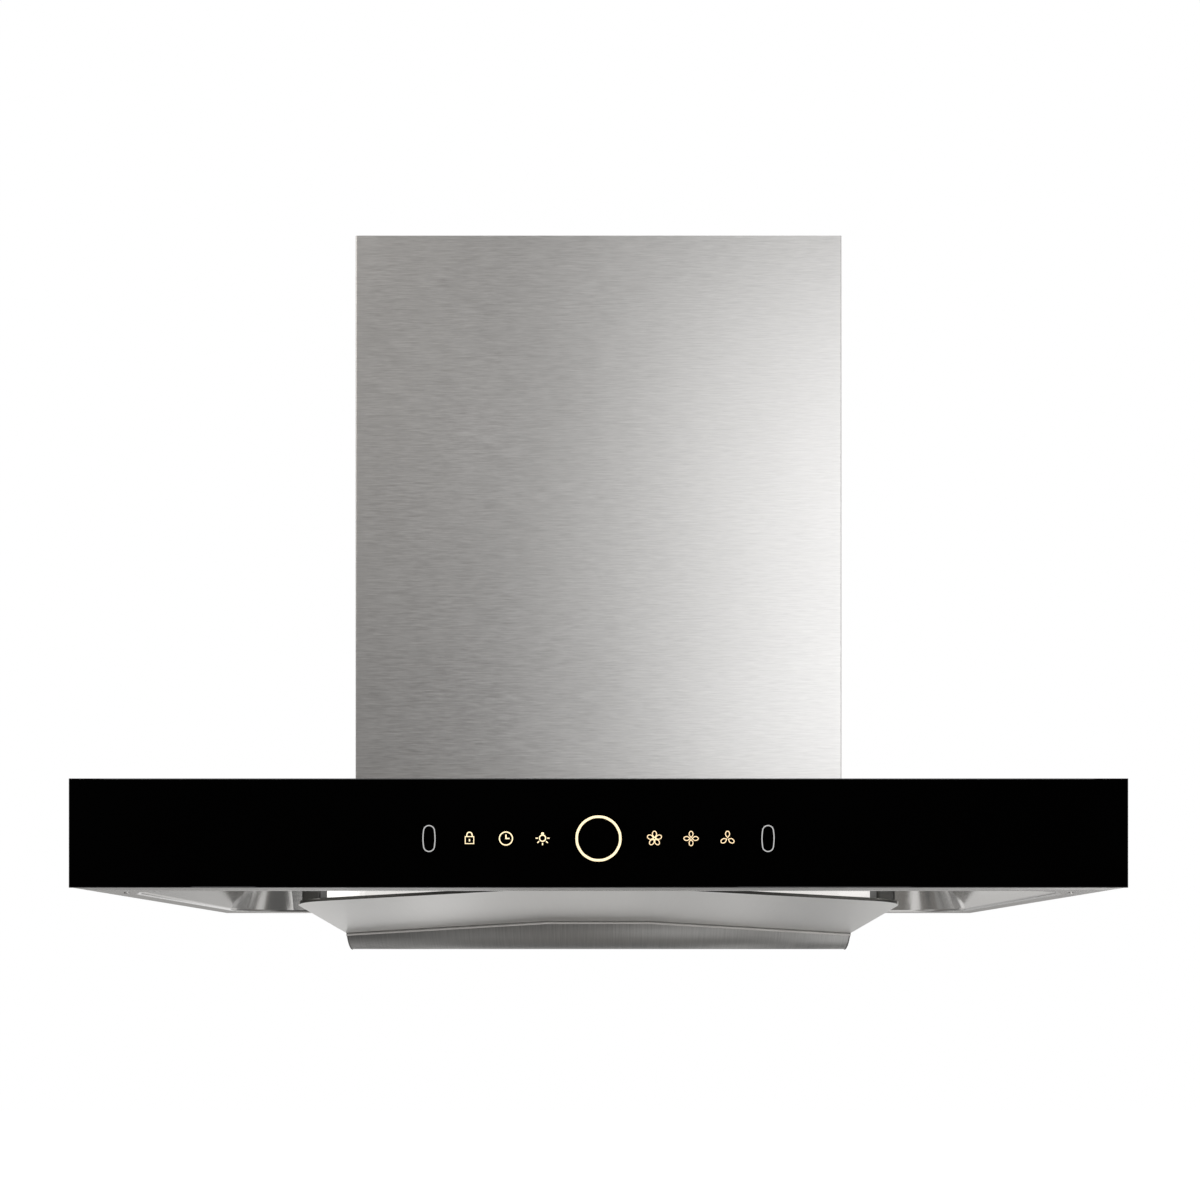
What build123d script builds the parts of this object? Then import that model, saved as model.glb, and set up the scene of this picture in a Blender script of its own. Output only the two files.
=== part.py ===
"""Wall mount range hood with a lifting capture plate, an oil tray and a centrifugal blower.

Lengths in mm. +X is the viewer's right, +Y points to the wall, +Z is up. The origin is the centre of
the wall bracket's hole pattern on the wall plane, so the wall is y = 0 and the hood faces -Y.
"""
import os
from math import atan, cos, degrees, hypot, sqrt

from build123d import *

# Overall sizes
hood_width = 898.0            # glass panel, left to right
hood_depth = 520.0            # front of the glass to the wall
body_height = 648.0           # bottom of the glass to the top of the blower box
hang_height = 560.0           # bottom of the glass to the bracket's hole centre
sheet = 1.0                   # folded steel sheet
fit_gap = 0.5                 # play around a sliding piece
turn_gap = 0.05               # play around a turning piece

# Glass front
glass_height = 92.5
glass_thick = 4.0
glass_overhang = 2.5          # glass beyond the body on each side
glass_edge = 0.8              # chamfer around the front of the glass
fascia_depth = 32.0

# Touch field behind the glass, heights above the glass bottom
touch_height = 41.5
board_width, board_height, board_thick = 380.0, 56.0, 1.6
touch_standoff = 8.0
window_margin = 6.0
ring_outer, ring_inner = 21.0, 16.5
sensor_x = 143.6
sensor_width, sensor_height = 9.0, 21.5

# Canopy and drawn pan
canopy_height = 90.0          # rim to the top plate
canopy_bend = 1.5
ceiling_height = 45.0         # rim to the pan's ceiling
rim_side, rim_front, rim_back = 23.5, 19.0, 16.0
wall_run = 20.0               # how far the pan's wall leans in on its way up
pan_corner = 60.0
rim_bend = 4.0
ceiling_bend = 10.0

# Air intake
intake_width, intake_depth = 400.0, 245.0
intake_back = 65.0            # rear edge of the opening to the wall
throat_flange = 10.0
grille_margin = 12.0
grille_thick = 1.5
grille_slots = 18
grille_slot_width = 9.0
grille_rows = 2
grille_bar = 20.0             # plain strip between the rows of slots

# Lamps
lamp_inset = 40.0             # lamp's middle from the plate's side edge
lamp_setback = 61.0           # lamp's middle from the pan's front edge
lamp_length, lamp_width = 112.0, 34.0
lamp_bezel = 3.0
lamp_height = 18.0

# Capture plate, heights above the rim
plate_side_gap, plate_front_gap, plate_back_gap = 133.0, 98.0, 44.0   # pan's edge to the plate
plate_front_rise = 7.5        # underside at the middle of the front edge
plate_fall = 22.0             # from the front edge to the rear edge
plate_flat = 116.0            # level middle part
wing_fall = 12.8              # from the level middle to the side edge
plate_corner = 25.0
plate_hem = 3.0               # height of the folded edge
hem_wall = 1.5

# Lift arms and their guides
arm_width, arm_length = 18.0, 36.0
arm_inset, arm_setback = 3.0, 22.0         # from the plate's side and front edge
arm_wall = 2.0
arm_bend = 3.0                # outer radius of the channel's front edges
foot_width = 23.0
lift_stroke = 28.0
stop_thick = 3.0
stop_margin = 4.0
guide_floor = 4.0
guide_wall = 3.5
gearbox_width, gearbox_length, gearbox_height = 30.0, 40.0, 36.0
lift_motor_radius, lift_motor_length = 14.0, 50.0

# Oil tray, heights above the rim
tray_radius = 49.0
tray_axis_gap = 22.0          # pan's rear edge to the axis of the tray's rounding
tray_bottom = -44.0
tray_back_radius = 8.0
tray_lip_rise = -5.0
tray_back_rise = -6.0
tray_flange = 12.0
tray_gap = 0.3                # between the tray's lip and the plate
hanger_x, hanger_width = 180.0, 24.0
hanger_foot, hanger_setback, hanger_thick = 39.0, 6.0, 1.5   # setback from the plate's rear edge
magnet_length, magnet_thick = 20.0, 3.0

# Blower box
box_width, box_depth = 475.0, 330.0
box_bend = 1.5
box_foot = 12.0
panel_flange = 15.0

# Wall bracket and hook
bracket_width, bracket_low, bracket_high = 300.0, -35.0, 45.0
bracket_thick = 2.0
bracket_joggle = 4.0          # lip's distance from the wall
bracket_bend_z = 25.0
bolt_spacing_x, bolt_spacing_z, bolt_hole = 220.0, 36.0, 8.0
recess_depth = 9.0
recess_width, recess_low, recess_high = 310.0, -42.0, 56.0
hook_width, hook_low, hook_thick, hook_reach = 240.0, 20.0, 2.0, 14.0

# Scroll and impeller, the axis runs along Y
blower_x, blower_rise = -75.0, 320.0
scroll_front, scroll_back = -230.0, -100.0
scroll_start = 140.0          # radius of the first quarter
scroll_step = 18.0            # growth of the radius at each quarter
tongue_x, tongue_radius = 34.0, 8.0
neck_rise = 200.0             # axis to the top of the scroll's neck
seam = 6.0
carrier_low = 190.0           # axis to the lower edge of the back plate
carrier_hole = 50.0
inlet_radius, inlet_lip, inlet_flange = 98.0, 14.0, 122.0
wheel_radius, wheel_inner = 125.0, 103.0
wheel_front, wheel_back = -224.0, -108.0
wheel_disc, wheel_ring = 2.0, 3.0
blade_count = 36
blade_bulge = 5.5             # rise of the blade's arc
blade_lead = 6.0              # degrees the tip runs ahead of the root
blade_thick = 1.2
hub_radius, hub_length = 16.0, 30.0

# Motor
shaft_radius = 6.0
motor_radius, motor_length, motor_chamfer = 60.0, 68.0, 5.0
motor_boss, motor_boss_length = 20.0, 3.0
bracket_arm, bracket_sheet = 95.0, 2.0
grommet_reach, grommet_radius, grommet_height = 82.0, 9.0, 3.0
nut_size, nut_height = 22.0, 8.0

# Outlet, collar and damper
outlet_y = -165.0
collar_radius, collar_wall, collar_height = 75.0, 1.5, 38.0
spigot_radius, spigot_length = 74.6, 15.0
collar_flange, collar_flange_thick = 90.0, 2.0
transition_top = 8.0          # below the top of the box
transition_sleeve = 15.0
damper_rise = 20.0            # damper pin above the top panel
damper_ledge = 3.5
damper_pin_radius = 2.0
damper_gap = 1.0              # between a flap and the collar
damper_barrel = 4.0
damper_thick = 1.0
damper_knuckles = ((34.0, 62.0), (4.0, 32.0))   # outer pair and inner pair, from the middle

# Electric parts on the back panel
control_inset, control_rise = 31.5, 180.0        # inset from the back panel's side edge
control_width, control_height, control_depth = 130.0, 110.0, 38.0
lid_thick = 2.0
capacitor_inset, capacitor_rise = 108.5, 300.0
capacitor_radius, capacitor_length = 18.0, 60.0
strap_width, strap_foot = 12.0, 14.0
gland_inset, gland_y, gland_radius, gland_bore = 56.5, -60.0, 14.0, 8.0

# Screws
screw_radius, screw_play = 2.0, 0.1
screw_head, screw_head_height = 4.0, 2.2

# Levels and limits worked out from the sizes above
rim_z = -hang_height
ceiling_z = rim_z + ceiling_height
loft_z = ceiling_z + sheet                 # top side of the pan's ceiling
canopy_z = rim_z + canopy_height
box_top = rim_z + body_height
glass_front = -hood_depth
glass_back = glass_front + glass_thick
body_front = glass_back + fascia_depth
body_half = hood_width / 2 - glass_overhang
touch_z = rim_z + touch_height
cavity_width = 2 * (body_half - rim_side)
cavity_depth = -body_front - rim_front - rim_back
cavity_y = -rim_back - cavity_depth / 2
wall_lean = degrees(atan(wall_run / ceiling_height))
skin = sheet / cos(atan(wall_run / ceiling_height))
intake_y = -intake_back - intake_depth / 2
cavity_front = body_front + rim_front
plate_width = cavity_width - 2 * plate_side_gap
plate_front, plate_back = cavity_front + plate_front_gap, -rim_back - plate_back_gap
plate_slope = plate_fall / (plate_back - plate_front)
wing_slope = 2 * wing_fall / (plate_width - plate_flat)
lamp_x, lamp_y = plate_width / 2 - lamp_inset, cavity_front + lamp_setback
tray_axis_y = -rim_back - tray_axis_gap
arm_x = plate_width / 2 - arm_inset - arm_width / 2
arm_front = plate_front + arm_setback
arm_y = arm_front + arm_length / 2
guide_top = loft_z + guide_floor + stop_thick + lift_stroke + 3 * fit_gap
tray_back = tray_axis_y + tray_back_radius
tray_axis_z = rim_z + tray_bottom + tray_radius
hanger_turn = plate_back - hanger_setback
hanger_front = hanger_turn - hanger_foot
box_half = box_width / 2
panel_half = box_half - sheet
blower_z = rim_z + blower_rise
neck_left = blower_x + tongue_x
neck_right = blower_x + scroll_start + 3 * scroll_step
neck_top = blower_z + neck_rise
carrier_y = scroll_back + sheet            # wall side of the scroll's back plate
motor_face = carrier_y + grommet_height + bracket_sheet
damper_z = box_top + damper_rise
grille_low = ceiling_z - grille_thick
control_x = panel_half - control_inset - control_width / 2
control_z = rim_z + control_rise
capacitor_x = panel_half - capacitor_inset - capacitor_radius
capacitor_z = rim_z + capacitor_rise
gland_x = panel_half - gland_inset
grille_screw_spots = [
    (x * (intake_width / 2 + grille_margin / 2), intake_y + y * (intake_depth / 2 + grille_margin / 2))
    for x in (-1, 1) for y in (-1, 1)
]
collar_screw_reach = (collar_radius + collar_flange) / 2

# Limits that keep the pieces fitting when a size is changed
assert ceiling_z + lift_stroke < guide_top < canopy_z - sheet, "lift guide must stay under the canopy top"
assert blower_x - scroll_start > -panel_half + sheet, "scroll must fit between the sides of the box"
assert neck_right < panel_half - sheet, "scroll neck must fit between the sides of the box"
assert plate_front_rise + plate_hem + lift_stroke < ceiling_height - grille_thick - screw_head_height


def underside(x, y):
    """Height of the capture plate's underside at a place seen from above."""
    wing = max(0.0, abs(x) - plate_flat / 2)
    return rim_z + plate_front_rise - plate_slope * (y - plate_front) - wing_slope * wing


def wing_slab(low, high, front, back, xs):
    """Slab between two heights above the plate's underside, with a corner at each x of its outline."""
    with BuildPart() as slab:
        with BuildSketch(Plane.XZ.offset(-front)):
            with BuildLine():
                Polyline(
                    *[(x, underside(x, front) + low) for x in xs],
                    *[(x, underside(x, front) + high) for x in reversed(xs)],
                    close=True,
                )
            make_face()
        extrude(amount=(back - front) * hypot(1, plate_slope), dir=(0, 1, -plate_slope))
    return slab.part


def full_width(half):
    """Outline corners of a slab that spans both wings and the level middle."""
    return [-half, -plate_flat / 2, plate_flat / 2, half]


def screw(length):
    """Pan head screw, seat of the head at its origin and shank along +Z."""
    with BuildPart() as made:
        Cylinder(screw_radius, length, align=(Align.CENTER, Align.CENTER, Align.MIN))
        Cylinder(screw_head, screw_head_height, align=(Align.CENTER, Align.CENTER, Align.MAX))
        chamfer(made.edges().sort_by(Axis.Z)[0], screw_head_height / 2)
    return made.part


def rounded_block(width, depth, height, radius):
    """Moulded block on the level of its origin, its upright edges rounded."""
    with BuildPart() as made:
        with BuildSketch():
            RectangleRounded(width, depth, radius)
        extrude(amount=height)
    return made.part


# Glass panel
with BuildPart() as glass_panel:
    with Locations((0, glass_front, rim_z)):
        Box(hood_width, glass_thick, glass_height, align=(Align.CENTER, Align.MIN, Align.MIN))
    chamfer(glass_panel.faces().sort_by(Axis.Y)[0].edges(), glass_edge)

# Fascia frame, open to the rear, with a window for the touch field
with BuildPart() as fascia_frame:
    with Locations((0, glass_back, rim_z)):
        Box(2 * body_half, fascia_depth, canopy_height, align=(Align.CENTER, Align.MIN, Align.MIN))
    offset(amount=-sheet, openings=fascia_frame.faces().sort_by(Axis.Y)[-1])
    with BuildSketch(Plane.XZ.offset(-glass_back)):
        with Locations((0, touch_z)):
            RectangleRounded(board_width - window_margin, board_height - window_margin, window_margin)
    extrude(amount=-sheet, mode=Mode.SUBTRACT)

# Touch board, ring light guide and gesture sensors
with BuildPart() as touch_board:
    with BuildSketch(Plane.XZ.offset(-glass_back - touch_standoff)):
        with Locations((0, touch_z)):
            RectangleRounded(board_width, board_height, window_margin / 2)
    extrude(amount=-board_thick)

with BuildPart() as ring_light_guide:
    with BuildSketch(Plane.XZ.offset(-glass_back)):
        with Locations((0, touch_z)):
            Circle(ring_outer)
            Circle(ring_inner, mode=Mode.SUBTRACT)
    extrude(amount=-touch_standoff)

with BuildPart() as gesture_sensors:
    with BuildSketch(Plane.XZ.offset(-glass_back)):
        with Locations((-sensor_x, touch_z), (sensor_x, touch_z)):
            SlotOverall(sensor_height, sensor_width, rotation=90)
    extrude(amount=-touch_standoff)

# Canopy shell, open below and in front
with BuildPart() as canopy_shell:
    with Locations((0, 0, rim_z + sheet)):
        Box(2 * body_half, -body_front, canopy_height - sheet, align=(Align.CENTER, Align.MAX, Align.MIN))
    fillet(canopy_shell.faces().sort_by(Axis.Z)[-1].edges().filter_by(Axis.Y), canopy_bend)
    offset(
        amount=-sheet,
        openings=[canopy_shell.faces().sort_by(Axis.Z)[0], canopy_shell.faces().sort_by(Axis.Y)[0]],
    )
    with BuildSketch(Plane.XY.offset(canopy_z)):
        with Locations((0, intake_y)):
            Rectangle(intake_width, intake_depth)
    extrude(amount=-2 * sheet, mode=Mode.SUBTRACT)

# Drawn inner pan: the air space first, then the sheet around it
with BuildPart() as pan_space:
    with BuildSketch(Plane.XY.offset(rim_z)):
        with Locations((0, cavity_y)):
            RectangleRounded(cavity_width, cavity_depth, pan_corner)
    extrude(amount=ceiling_height, taper=wall_lean)
    fillet(pan_space.faces().sort_by(Axis.Z)[-1].edges(), ceiling_bend)

with BuildPart() as inner_pan:
    with BuildSketch(Plane.XY.offset(rim_z)):
        with Locations((0, cavity_y)):
            RectangleRounded(cavity_width + 2 * skin, cavity_depth + 2 * skin, pan_corner + skin)
    extrude(amount=ceiling_height + sheet, taper=wall_lean)
    fillet(inner_pan.faces().sort_by(Axis.Z)[-1].edges(), ceiling_bend + sheet)
    with BuildSketch(Plane.XY.offset(rim_z)):
        with Locations((0, body_front / 2)):
            Rectangle(2 * body_half, -body_front)
    extrude(amount=sheet)
    rim_top = inner_pan.faces().filter_by(Axis.Z).filter_by_position(Axis.Z, rim_z, rim_z + 2 * sheet)
    fillet(rim_top.sort_by(Axis.Z)[-1].inner_wires().edges(), rim_bend)
    add(pan_space.part, mode=Mode.SUBTRACT)
    fillet(inner_pan.faces().sort_by(Axis.Z)[0].inner_wires().edges(), rim_bend + sheet)
    with BuildSketch(Plane.XY.offset(ceiling_z)):
        with Locations((0, intake_y)):
            Rectangle(intake_width, intake_depth)
        with Locations((-lamp_x, lamp_y), (lamp_x, lamp_y)):
            RectangleRounded(lamp_length, lamp_width, lamp_bezel)
        with Locations((-arm_x, arm_y), (arm_x, arm_y)):
            Rectangle(arm_width + 4 * fit_gap, arm_length + 4 * fit_gap)
        with Locations(*grille_screw_spots):
            Circle(screw_radius + screw_play)
    extrude(amount=2 * sheet, mode=Mode.SUBTRACT)

# Intake throat between the pan's ceiling and the canopy top
with BuildPart() as intake_throat:
    with BuildSketch(Plane.XY.offset(loft_z)):
        with Locations((0, intake_y)):
            Rectangle(intake_width + 2 * sheet, intake_depth + 2 * sheet)
            Rectangle(intake_width, intake_depth, mode=Mode.SUBTRACT)
    extrude(amount=canopy_z - sheet - loft_z)
    with BuildSketch(Plane.XY.offset(canopy_z - 2 * sheet)):
        with Locations((0, intake_y)):
            Rectangle(intake_width + 2 * throat_flange, intake_depth + 2 * throat_flange)
            Rectangle(intake_width, intake_depth, mode=Mode.SUBTRACT)
    extrude(amount=sheet)

# Intake grille with rows of slots, and its screws
with BuildSketch() as grille_slot:
    Rectangle(grille_slot_width, intake_depth / grille_rows - grille_bar)
    chamfer(grille_slot.vertices(), grille_slot_width / 3)

with BuildPart() as intake_grille:
    with BuildSketch(Plane.XY.offset(grille_low)):
        with Locations((0, intake_y)):
            RectangleRounded(intake_width + 2 * grille_margin, intake_depth + 2 * grille_margin, grille_margin)
            with GridLocations(intake_width / grille_slots, intake_depth / grille_rows,
                               grille_slots, grille_rows):
                add(grille_slot.sketch, mode=Mode.SUBTRACT)
        with Locations(*grille_screw_spots):
            Circle(screw_radius + screw_play, mode=Mode.SUBTRACT)
    extrude(amount=grille_thick)

with BuildPart() as grille_screws:
    with Locations(*[(x, y, grille_low) for x, y in grille_screw_spots]):
        add(screw(grille_thick + 6 * sheet))

# Lamps: lens with a bezel under the ceiling, housing above it
with BuildPart() as lamp_lens_right:
    with Locations((lamp_x, lamp_y, ceiling_z)):
        add(rounded_block(lamp_length - 2 * fit_gap, lamp_width - 2 * fit_gap, 2 * sheet, lamp_bezel))
    with Locations((lamp_x, lamp_y, ceiling_z - sheet)):
        add(rounded_block(lamp_length + 2 * lamp_bezel, lamp_width + 2 * lamp_bezel, sheet, 2 * lamp_bezel))
    chamfer(lamp_lens_right.faces().sort_by(Axis.Z)[0].edges(), sheet / 2)

with BuildPart() as lamp_housing_right:
    with Locations((lamp_x, lamp_y, loft_z)):
        add(rounded_block(lamp_length + 2 * lamp_bezel, lamp_width + 2 * lamp_bezel, lamp_height,
                          2 * lamp_bezel))
        add(rounded_block(lamp_length, lamp_width, lamp_height - lamp_bezel, lamp_bezel), mode=Mode.SUBTRACT)
    chamfer(lamp_housing_right.faces().sort_by(Axis.Z)[-1].edges(), lamp_bezel / 2)

with BuildPart() as lamp_lens_left:
    mirror(lamp_lens_right.part, about=Plane.YZ)

with BuildPart() as lamp_housing_left:
    mirror(lamp_housing_right.part, about=Plane.YZ)

# Capture plate: folded sheet with a hem along its front and sides
def plate_form(low, high, inset, back):
    """Slab on the plate's folded form with round front corners, smaller by the inset."""
    half, front = plate_width / 2 - inset, plate_front + inset
    with BuildPart() as made:
        add(wing_slab(low, high, front, back, full_width(half)))
        with BuildSketch(Plane.XY.offset(rim_z - ceiling_height)) as outline:
            with Locations((0, front)):
                Rectangle(2 * half, back - front, align=(Align.CENTER, Align.MIN))
            fillet(outline.vertices().group_by(Axis.Y)[0], plate_corner - inset)
        extrude(amount=2 * ceiling_height, mode=Mode.INTERSECT)
    return made.part


with BuildPart() as capture_plate:
    add(plate_form(0, plate_hem, 0, plate_back))
    add(plate_form(sheet, 3 * plate_hem, hem_wall, plate_back + hem_wall), mode=Mode.SUBTRACT)

# Lift arm: channel that stands on the plate, a stop at its top, a foot beside it
with BuildPart() as lift_arm_right:
    with BuildSketch(Plane.XY.offset(underside(plate_width / 2, plate_back))) as channel:
        with Locations((arm_x, arm_y)):
            Rectangle(arm_width, arm_length)
        fillet(channel.vertices().group_by(Axis.Y)[0], arm_bend)
        with Locations((arm_x, arm_y + arm_wall)):
            Rectangle(arm_width - 2 * arm_wall, arm_length, mode=Mode.SUBTRACT)
        fillet(channel.vertices().filter_by_position(Axis.Y, arm_front + arm_wall - fit_gap,
                                                     arm_front + arm_wall + fit_gap), arm_bend - arm_wall)
    extrude(amount=loft_z + guide_floor + stop_thick - underside(plate_width / 2, plate_back))
    with BuildSketch(Plane.XY.offset(loft_z + guide_floor)):
        with Locations((arm_x, arm_y)):
            Rectangle(arm_width + 2 * stop_margin, arm_length + 2 * stop_margin)
            Rectangle(arm_width - 2 * arm_wall, arm_length - 2 * arm_wall, mode=Mode.SUBTRACT)
    extrude(amount=stop_thick)
    foot_edge = arm_x - arm_width / 2 + arm_wall / 2
    add(wing_slab(sheet, sheet + arm_wall, arm_front, arm_front + arm_length,
                  [foot_edge - foot_width, foot_edge]))
    add(
        wing_slab(-ceiling_height, sheet, plate_front, plate_back, full_width(plate_width / 2)),
        mode=Mode.SUBTRACT,
    )

with BuildPart() as lift_arm_left:
    mirror(lift_arm_right.part, about=Plane.YZ)

# Lift guide: the floor carries the arm's stop, the well gives it its stroke
with BuildPart() as lift_guide_right:
    well = [arm_width + 2 * stop_margin + 2 * fit_gap, arm_length + 2 * stop_margin + 2 * fit_gap]
    with BuildSketch(Plane.XY.offset(loft_z)):
        with Locations((arm_x, arm_y)):
            RectangleRounded(well[0] + 2 * guide_wall, well[1] + 2 * guide_wall, guide_wall)
    extrude(amount=guide_top - loft_z)
    with BuildSketch(Plane.XY.offset(loft_z + guide_floor)):
        with Locations((arm_x, arm_y)):
            Rectangle(*well)
    extrude(amount=guide_top - loft_z, mode=Mode.SUBTRACT)
    with BuildSketch(Plane.XY.offset(loft_z)):
        with Locations((arm_x, arm_y)):
            Rectangle(arm_width + 2 * fit_gap, arm_length + 2 * fit_gap)
    extrude(amount=guide_floor, mode=Mode.SUBTRACT)

with BuildPart() as lift_guide_left:
    mirror(lift_guide_right.part, about=Plane.YZ)

# Lift motor: gearbox against the guide, motor can behind it
with BuildPart() as lift_motor_right:
    gearbox_x = arm_x + well[0] / 2 + guide_wall + gearbox_width / 2
    with Locations((gearbox_x, arm_y, loft_z)):
        add(rounded_block(gearbox_width, gearbox_length, gearbox_height, guide_wall))
    with BuildSketch(Plane.XZ.offset(-arm_y - gearbox_length / 2)):
        with Locations((gearbox_x, loft_z + gearbox_height / 2)):
            Circle(lift_motor_radius)
    extrude(amount=-gearbox_length - lift_motor_length)
    chamfer(lift_motor_right.faces().sort_by(Axis.Y)[-1].edges(), sheet)

with BuildPart() as lift_motor_left:
    mirror(lift_motor_right.part, about=Plane.YZ)

# Oil tray: rounded front, end walls, a flange along the rear for the magnets
lip_y = tray_axis_y - sqrt(tray_radius**2 - (tray_axis_z - rim_z - tray_lip_rise) ** 2)


def tray_form(inset, top, half):
    """Solid of the tray's section, a sheet thickness smaller where it is inset."""
    radius, corner = tray_radius - inset, tray_back_radius - inset
    floor_z, back = tray_axis_z - radius, tray_back - inset
    lip = tray_axis_y - sqrt(radius**2 - (tray_axis_z - rim_z - tray_lip_rise) ** 2)
    with BuildPart() as made:
        with BuildSketch(Plane.YZ.offset(-half)):
            with BuildLine():
                front = RadiusArc((lip, rim_z + tray_lip_rise), (tray_axis_y, floor_z), -radius)
                corner_arc = RadiusArc(front @ 1, (back, floor_z + corner), -corner)
                Polyline(corner_arc @ 1, (back, top), (lip, top), front @ 0)
            make_face()
        extrude(amount=2 * half)
    return made.part


with BuildPart() as oil_tray:
    add(tray_form(0, rim_z + tray_lip_rise + sheet / 2, plate_width / 2))
    add(tray_form(sheet, rim_z + ceiling_height, plate_width / 2 - sheet), mode=Mode.SUBTRACT)
    with Locations((0, tray_back, rim_z + tray_back_rise)):
        Box(plate_width, tray_flange, sheet, align=(Align.CENTER, Align.MAX, Align.MAX))
    add(
        wing_slab(-tray_gap, ceiling_height, lip_y - sheet, plate_back + 2 * sheet, full_width(plate_width)),
        mode=Mode.SUBTRACT,
    )
    with Locations((0, tray_back, rim_z + tray_back_rise)):
        Box(plate_width, -2 * plate_back, tray_radius, align=(Align.CENTER, Align.CENTER, Align.MIN),
            mode=Mode.SUBTRACT)

# Tray hangers on the plate, and the magnets that hold the tray's flange
with BuildPart() as tray_hangers:
    strip_z = rim_z + tray_back_rise + magnet_thick
    for side in (-1, 1):
        edges = sorted((side * (hanger_x - hanger_width / 2), side * (hanger_x + hanger_width / 2)))
        add(wing_slab(sheet, sheet + hanger_thick, hanger_front, hanger_turn, edges))
        low = underside(hanger_x + hanger_width / 2, hanger_turn) + sheet
        with BuildSketch(Plane.YZ.offset(edges[0])):
            with BuildLine():
                Polyline(
                    (hanger_turn - hanger_thick, low), (hanger_turn, low), (hanger_turn, strip_z),
                    (tray_back, strip_z), (tray_back, strip_z + hanger_thick),
                    (hanger_turn - hanger_thick, strip_z + hanger_thick), close=True,
                )
            make_face()
        extrude(amount=hanger_width)
    add(
        wing_slab(-tray_radius, sheet, hanger_front, plate_back, full_width(plate_width / 2)),
        mode=Mode.SUBTRACT,
    )

with BuildPart() as tray_magnets:
    with Locations(*[(side * hanger_x, tray_back, rim_z + tray_back_rise) for side in (-1, 1)]):
        Box(magnet_length, tray_flange - 2 * sheet, magnet_thick, align=(Align.CENTER, Align.MAX, Align.MIN))
    chamfer(tray_magnets.edges().filter_by(Axis.Z), sheet)

# Blower box cover: front and two sides from one sheet, turned in at the foot
with BuildPart() as box_cover:
    with Locations((0, 0, canopy_z)):
        Box(box_width, box_depth, box_top - canopy_z, align=(Align.CENTER, Align.MAX, Align.MIN))
    fillet(box_cover.edges().filter_by(Axis.Z).group_by(Axis.Y)[0], box_bend)
    offset(
        amount=-sheet,
        openings=[
            box_cover.faces().sort_by(Axis.Z)[0],
            box_cover.faces().sort_by(Axis.Z)[-1],
            box_cover.faces().sort_by(Axis.Y)[-1],
        ],
    )
    with BuildSketch(Plane.XY.offset(canopy_z)):
        with Locations((-panel_half, -2 * panel_flange), (panel_half - box_foot, -2 * panel_flange)):
            Rectangle(box_foot, box_depth - 4 * panel_flange, align=(Align.MIN, Align.MAX))
        with Locations((0, sheet - box_depth)):
            Rectangle(box_width - 4 * box_foot, box_foot, align=(Align.CENTER, Align.MIN))
    extrude(amount=sheet)

# Back panel with side flanges and a recess for the wall bracket
with BuildPart() as back_panel:
    with BuildSketch(Plane.XY.offset(canopy_z)):
        with BuildLine():
            Polyline(
                (-panel_half, -panel_flange), (-panel_half, 0), (panel_half, 0), (panel_half, -panel_flange),
                (panel_half - sheet, -panel_flange), (panel_half - sheet, -sheet),
                (sheet - panel_half, -sheet), (sheet - panel_half, -panel_flange), close=True,
            )
        make_face()
    extrude(amount=box_top - sheet - canopy_z)
    recess_z = (recess_low + recess_high) / 2
    with Locations((0, 0, recess_z)):
        Box(recess_width + 2 * sheet, recess_depth + sheet, recess_high - recess_low + 2 * sheet,
            align=(Align.CENTER, Align.MAX, Align.CENTER))
        Box(recess_width, recess_depth, recess_high - recess_low,
            align=(Align.CENTER, Align.MAX, Align.CENTER), mode=Mode.SUBTRACT)

# Top panel with its edges turned down on three sides
with BuildPart() as top_panel:
    with Locations((0, 0, box_top)):
        Box(2 * panel_half, box_depth - sheet, panel_flange, align=(Align.CENTER, Align.MAX, Align.MAX))
    fillet(top_panel.edges().filter_by(Axis.Z).group_by(Axis.Y)[0], box_bend)
    with Locations((0, 0, box_top - sheet)):
        Box(2 * panel_half - 2 * sheet, box_depth - 2 * sheet, panel_flange,
            align=(Align.CENTER, Align.MAX, Align.MAX), mode=Mode.SUBTRACT)
    with Locations((0, -panel_flange, box_top - sheet)):
        Box(2 * panel_half, 2 * panel_flange, panel_flange,
            align=(Align.CENTER, Align.MIN, Align.MAX), mode=Mode.SUBTRACT)
    with BuildSketch(Plane.XY.offset(box_top)):
        with Locations((0, outlet_y)):
            Circle(collar_radius)
            with PolarLocations(collar_screw_reach, 4, 45):
                Circle(screw_radius + screw_play)
        with Locations((gland_x, gland_y)):
            Circle(gland_radius - 2 * sheet)
    extrude(amount=-2 * sheet, mode=Mode.SUBTRACT)

# Wall bracket: plate on the wall with a lip that stands off, four bolt holes
with BuildPart() as wall_bracket:
    with BuildSketch(Plane.YZ.offset(-bracket_width / 2)):
        with BuildLine():
            Polyline(
                (0, bracket_low), (0, bracket_bend_z), (-bracket_joggle, bracket_bend_z + bracket_joggle),
                (-bracket_joggle, bracket_high), (-bracket_joggle - bracket_thick, bracket_high),
                (-bracket_joggle - bracket_thick, bracket_bend_z + bracket_joggle - sheet),
                (-bracket_thick, bracket_bend_z - sheet), (-bracket_thick, bracket_low), close=True,
            )
        make_face()
    extrude(amount=bracket_width)
    with BuildSketch(Plane.XZ):
        with GridLocations(bolt_spacing_x, bolt_spacing_z, 2, 2):
            Circle(bolt_hole / 2)
    extrude(amount=2 * bracket_thick, both=True, mode=Mode.SUBTRACT)

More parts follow.
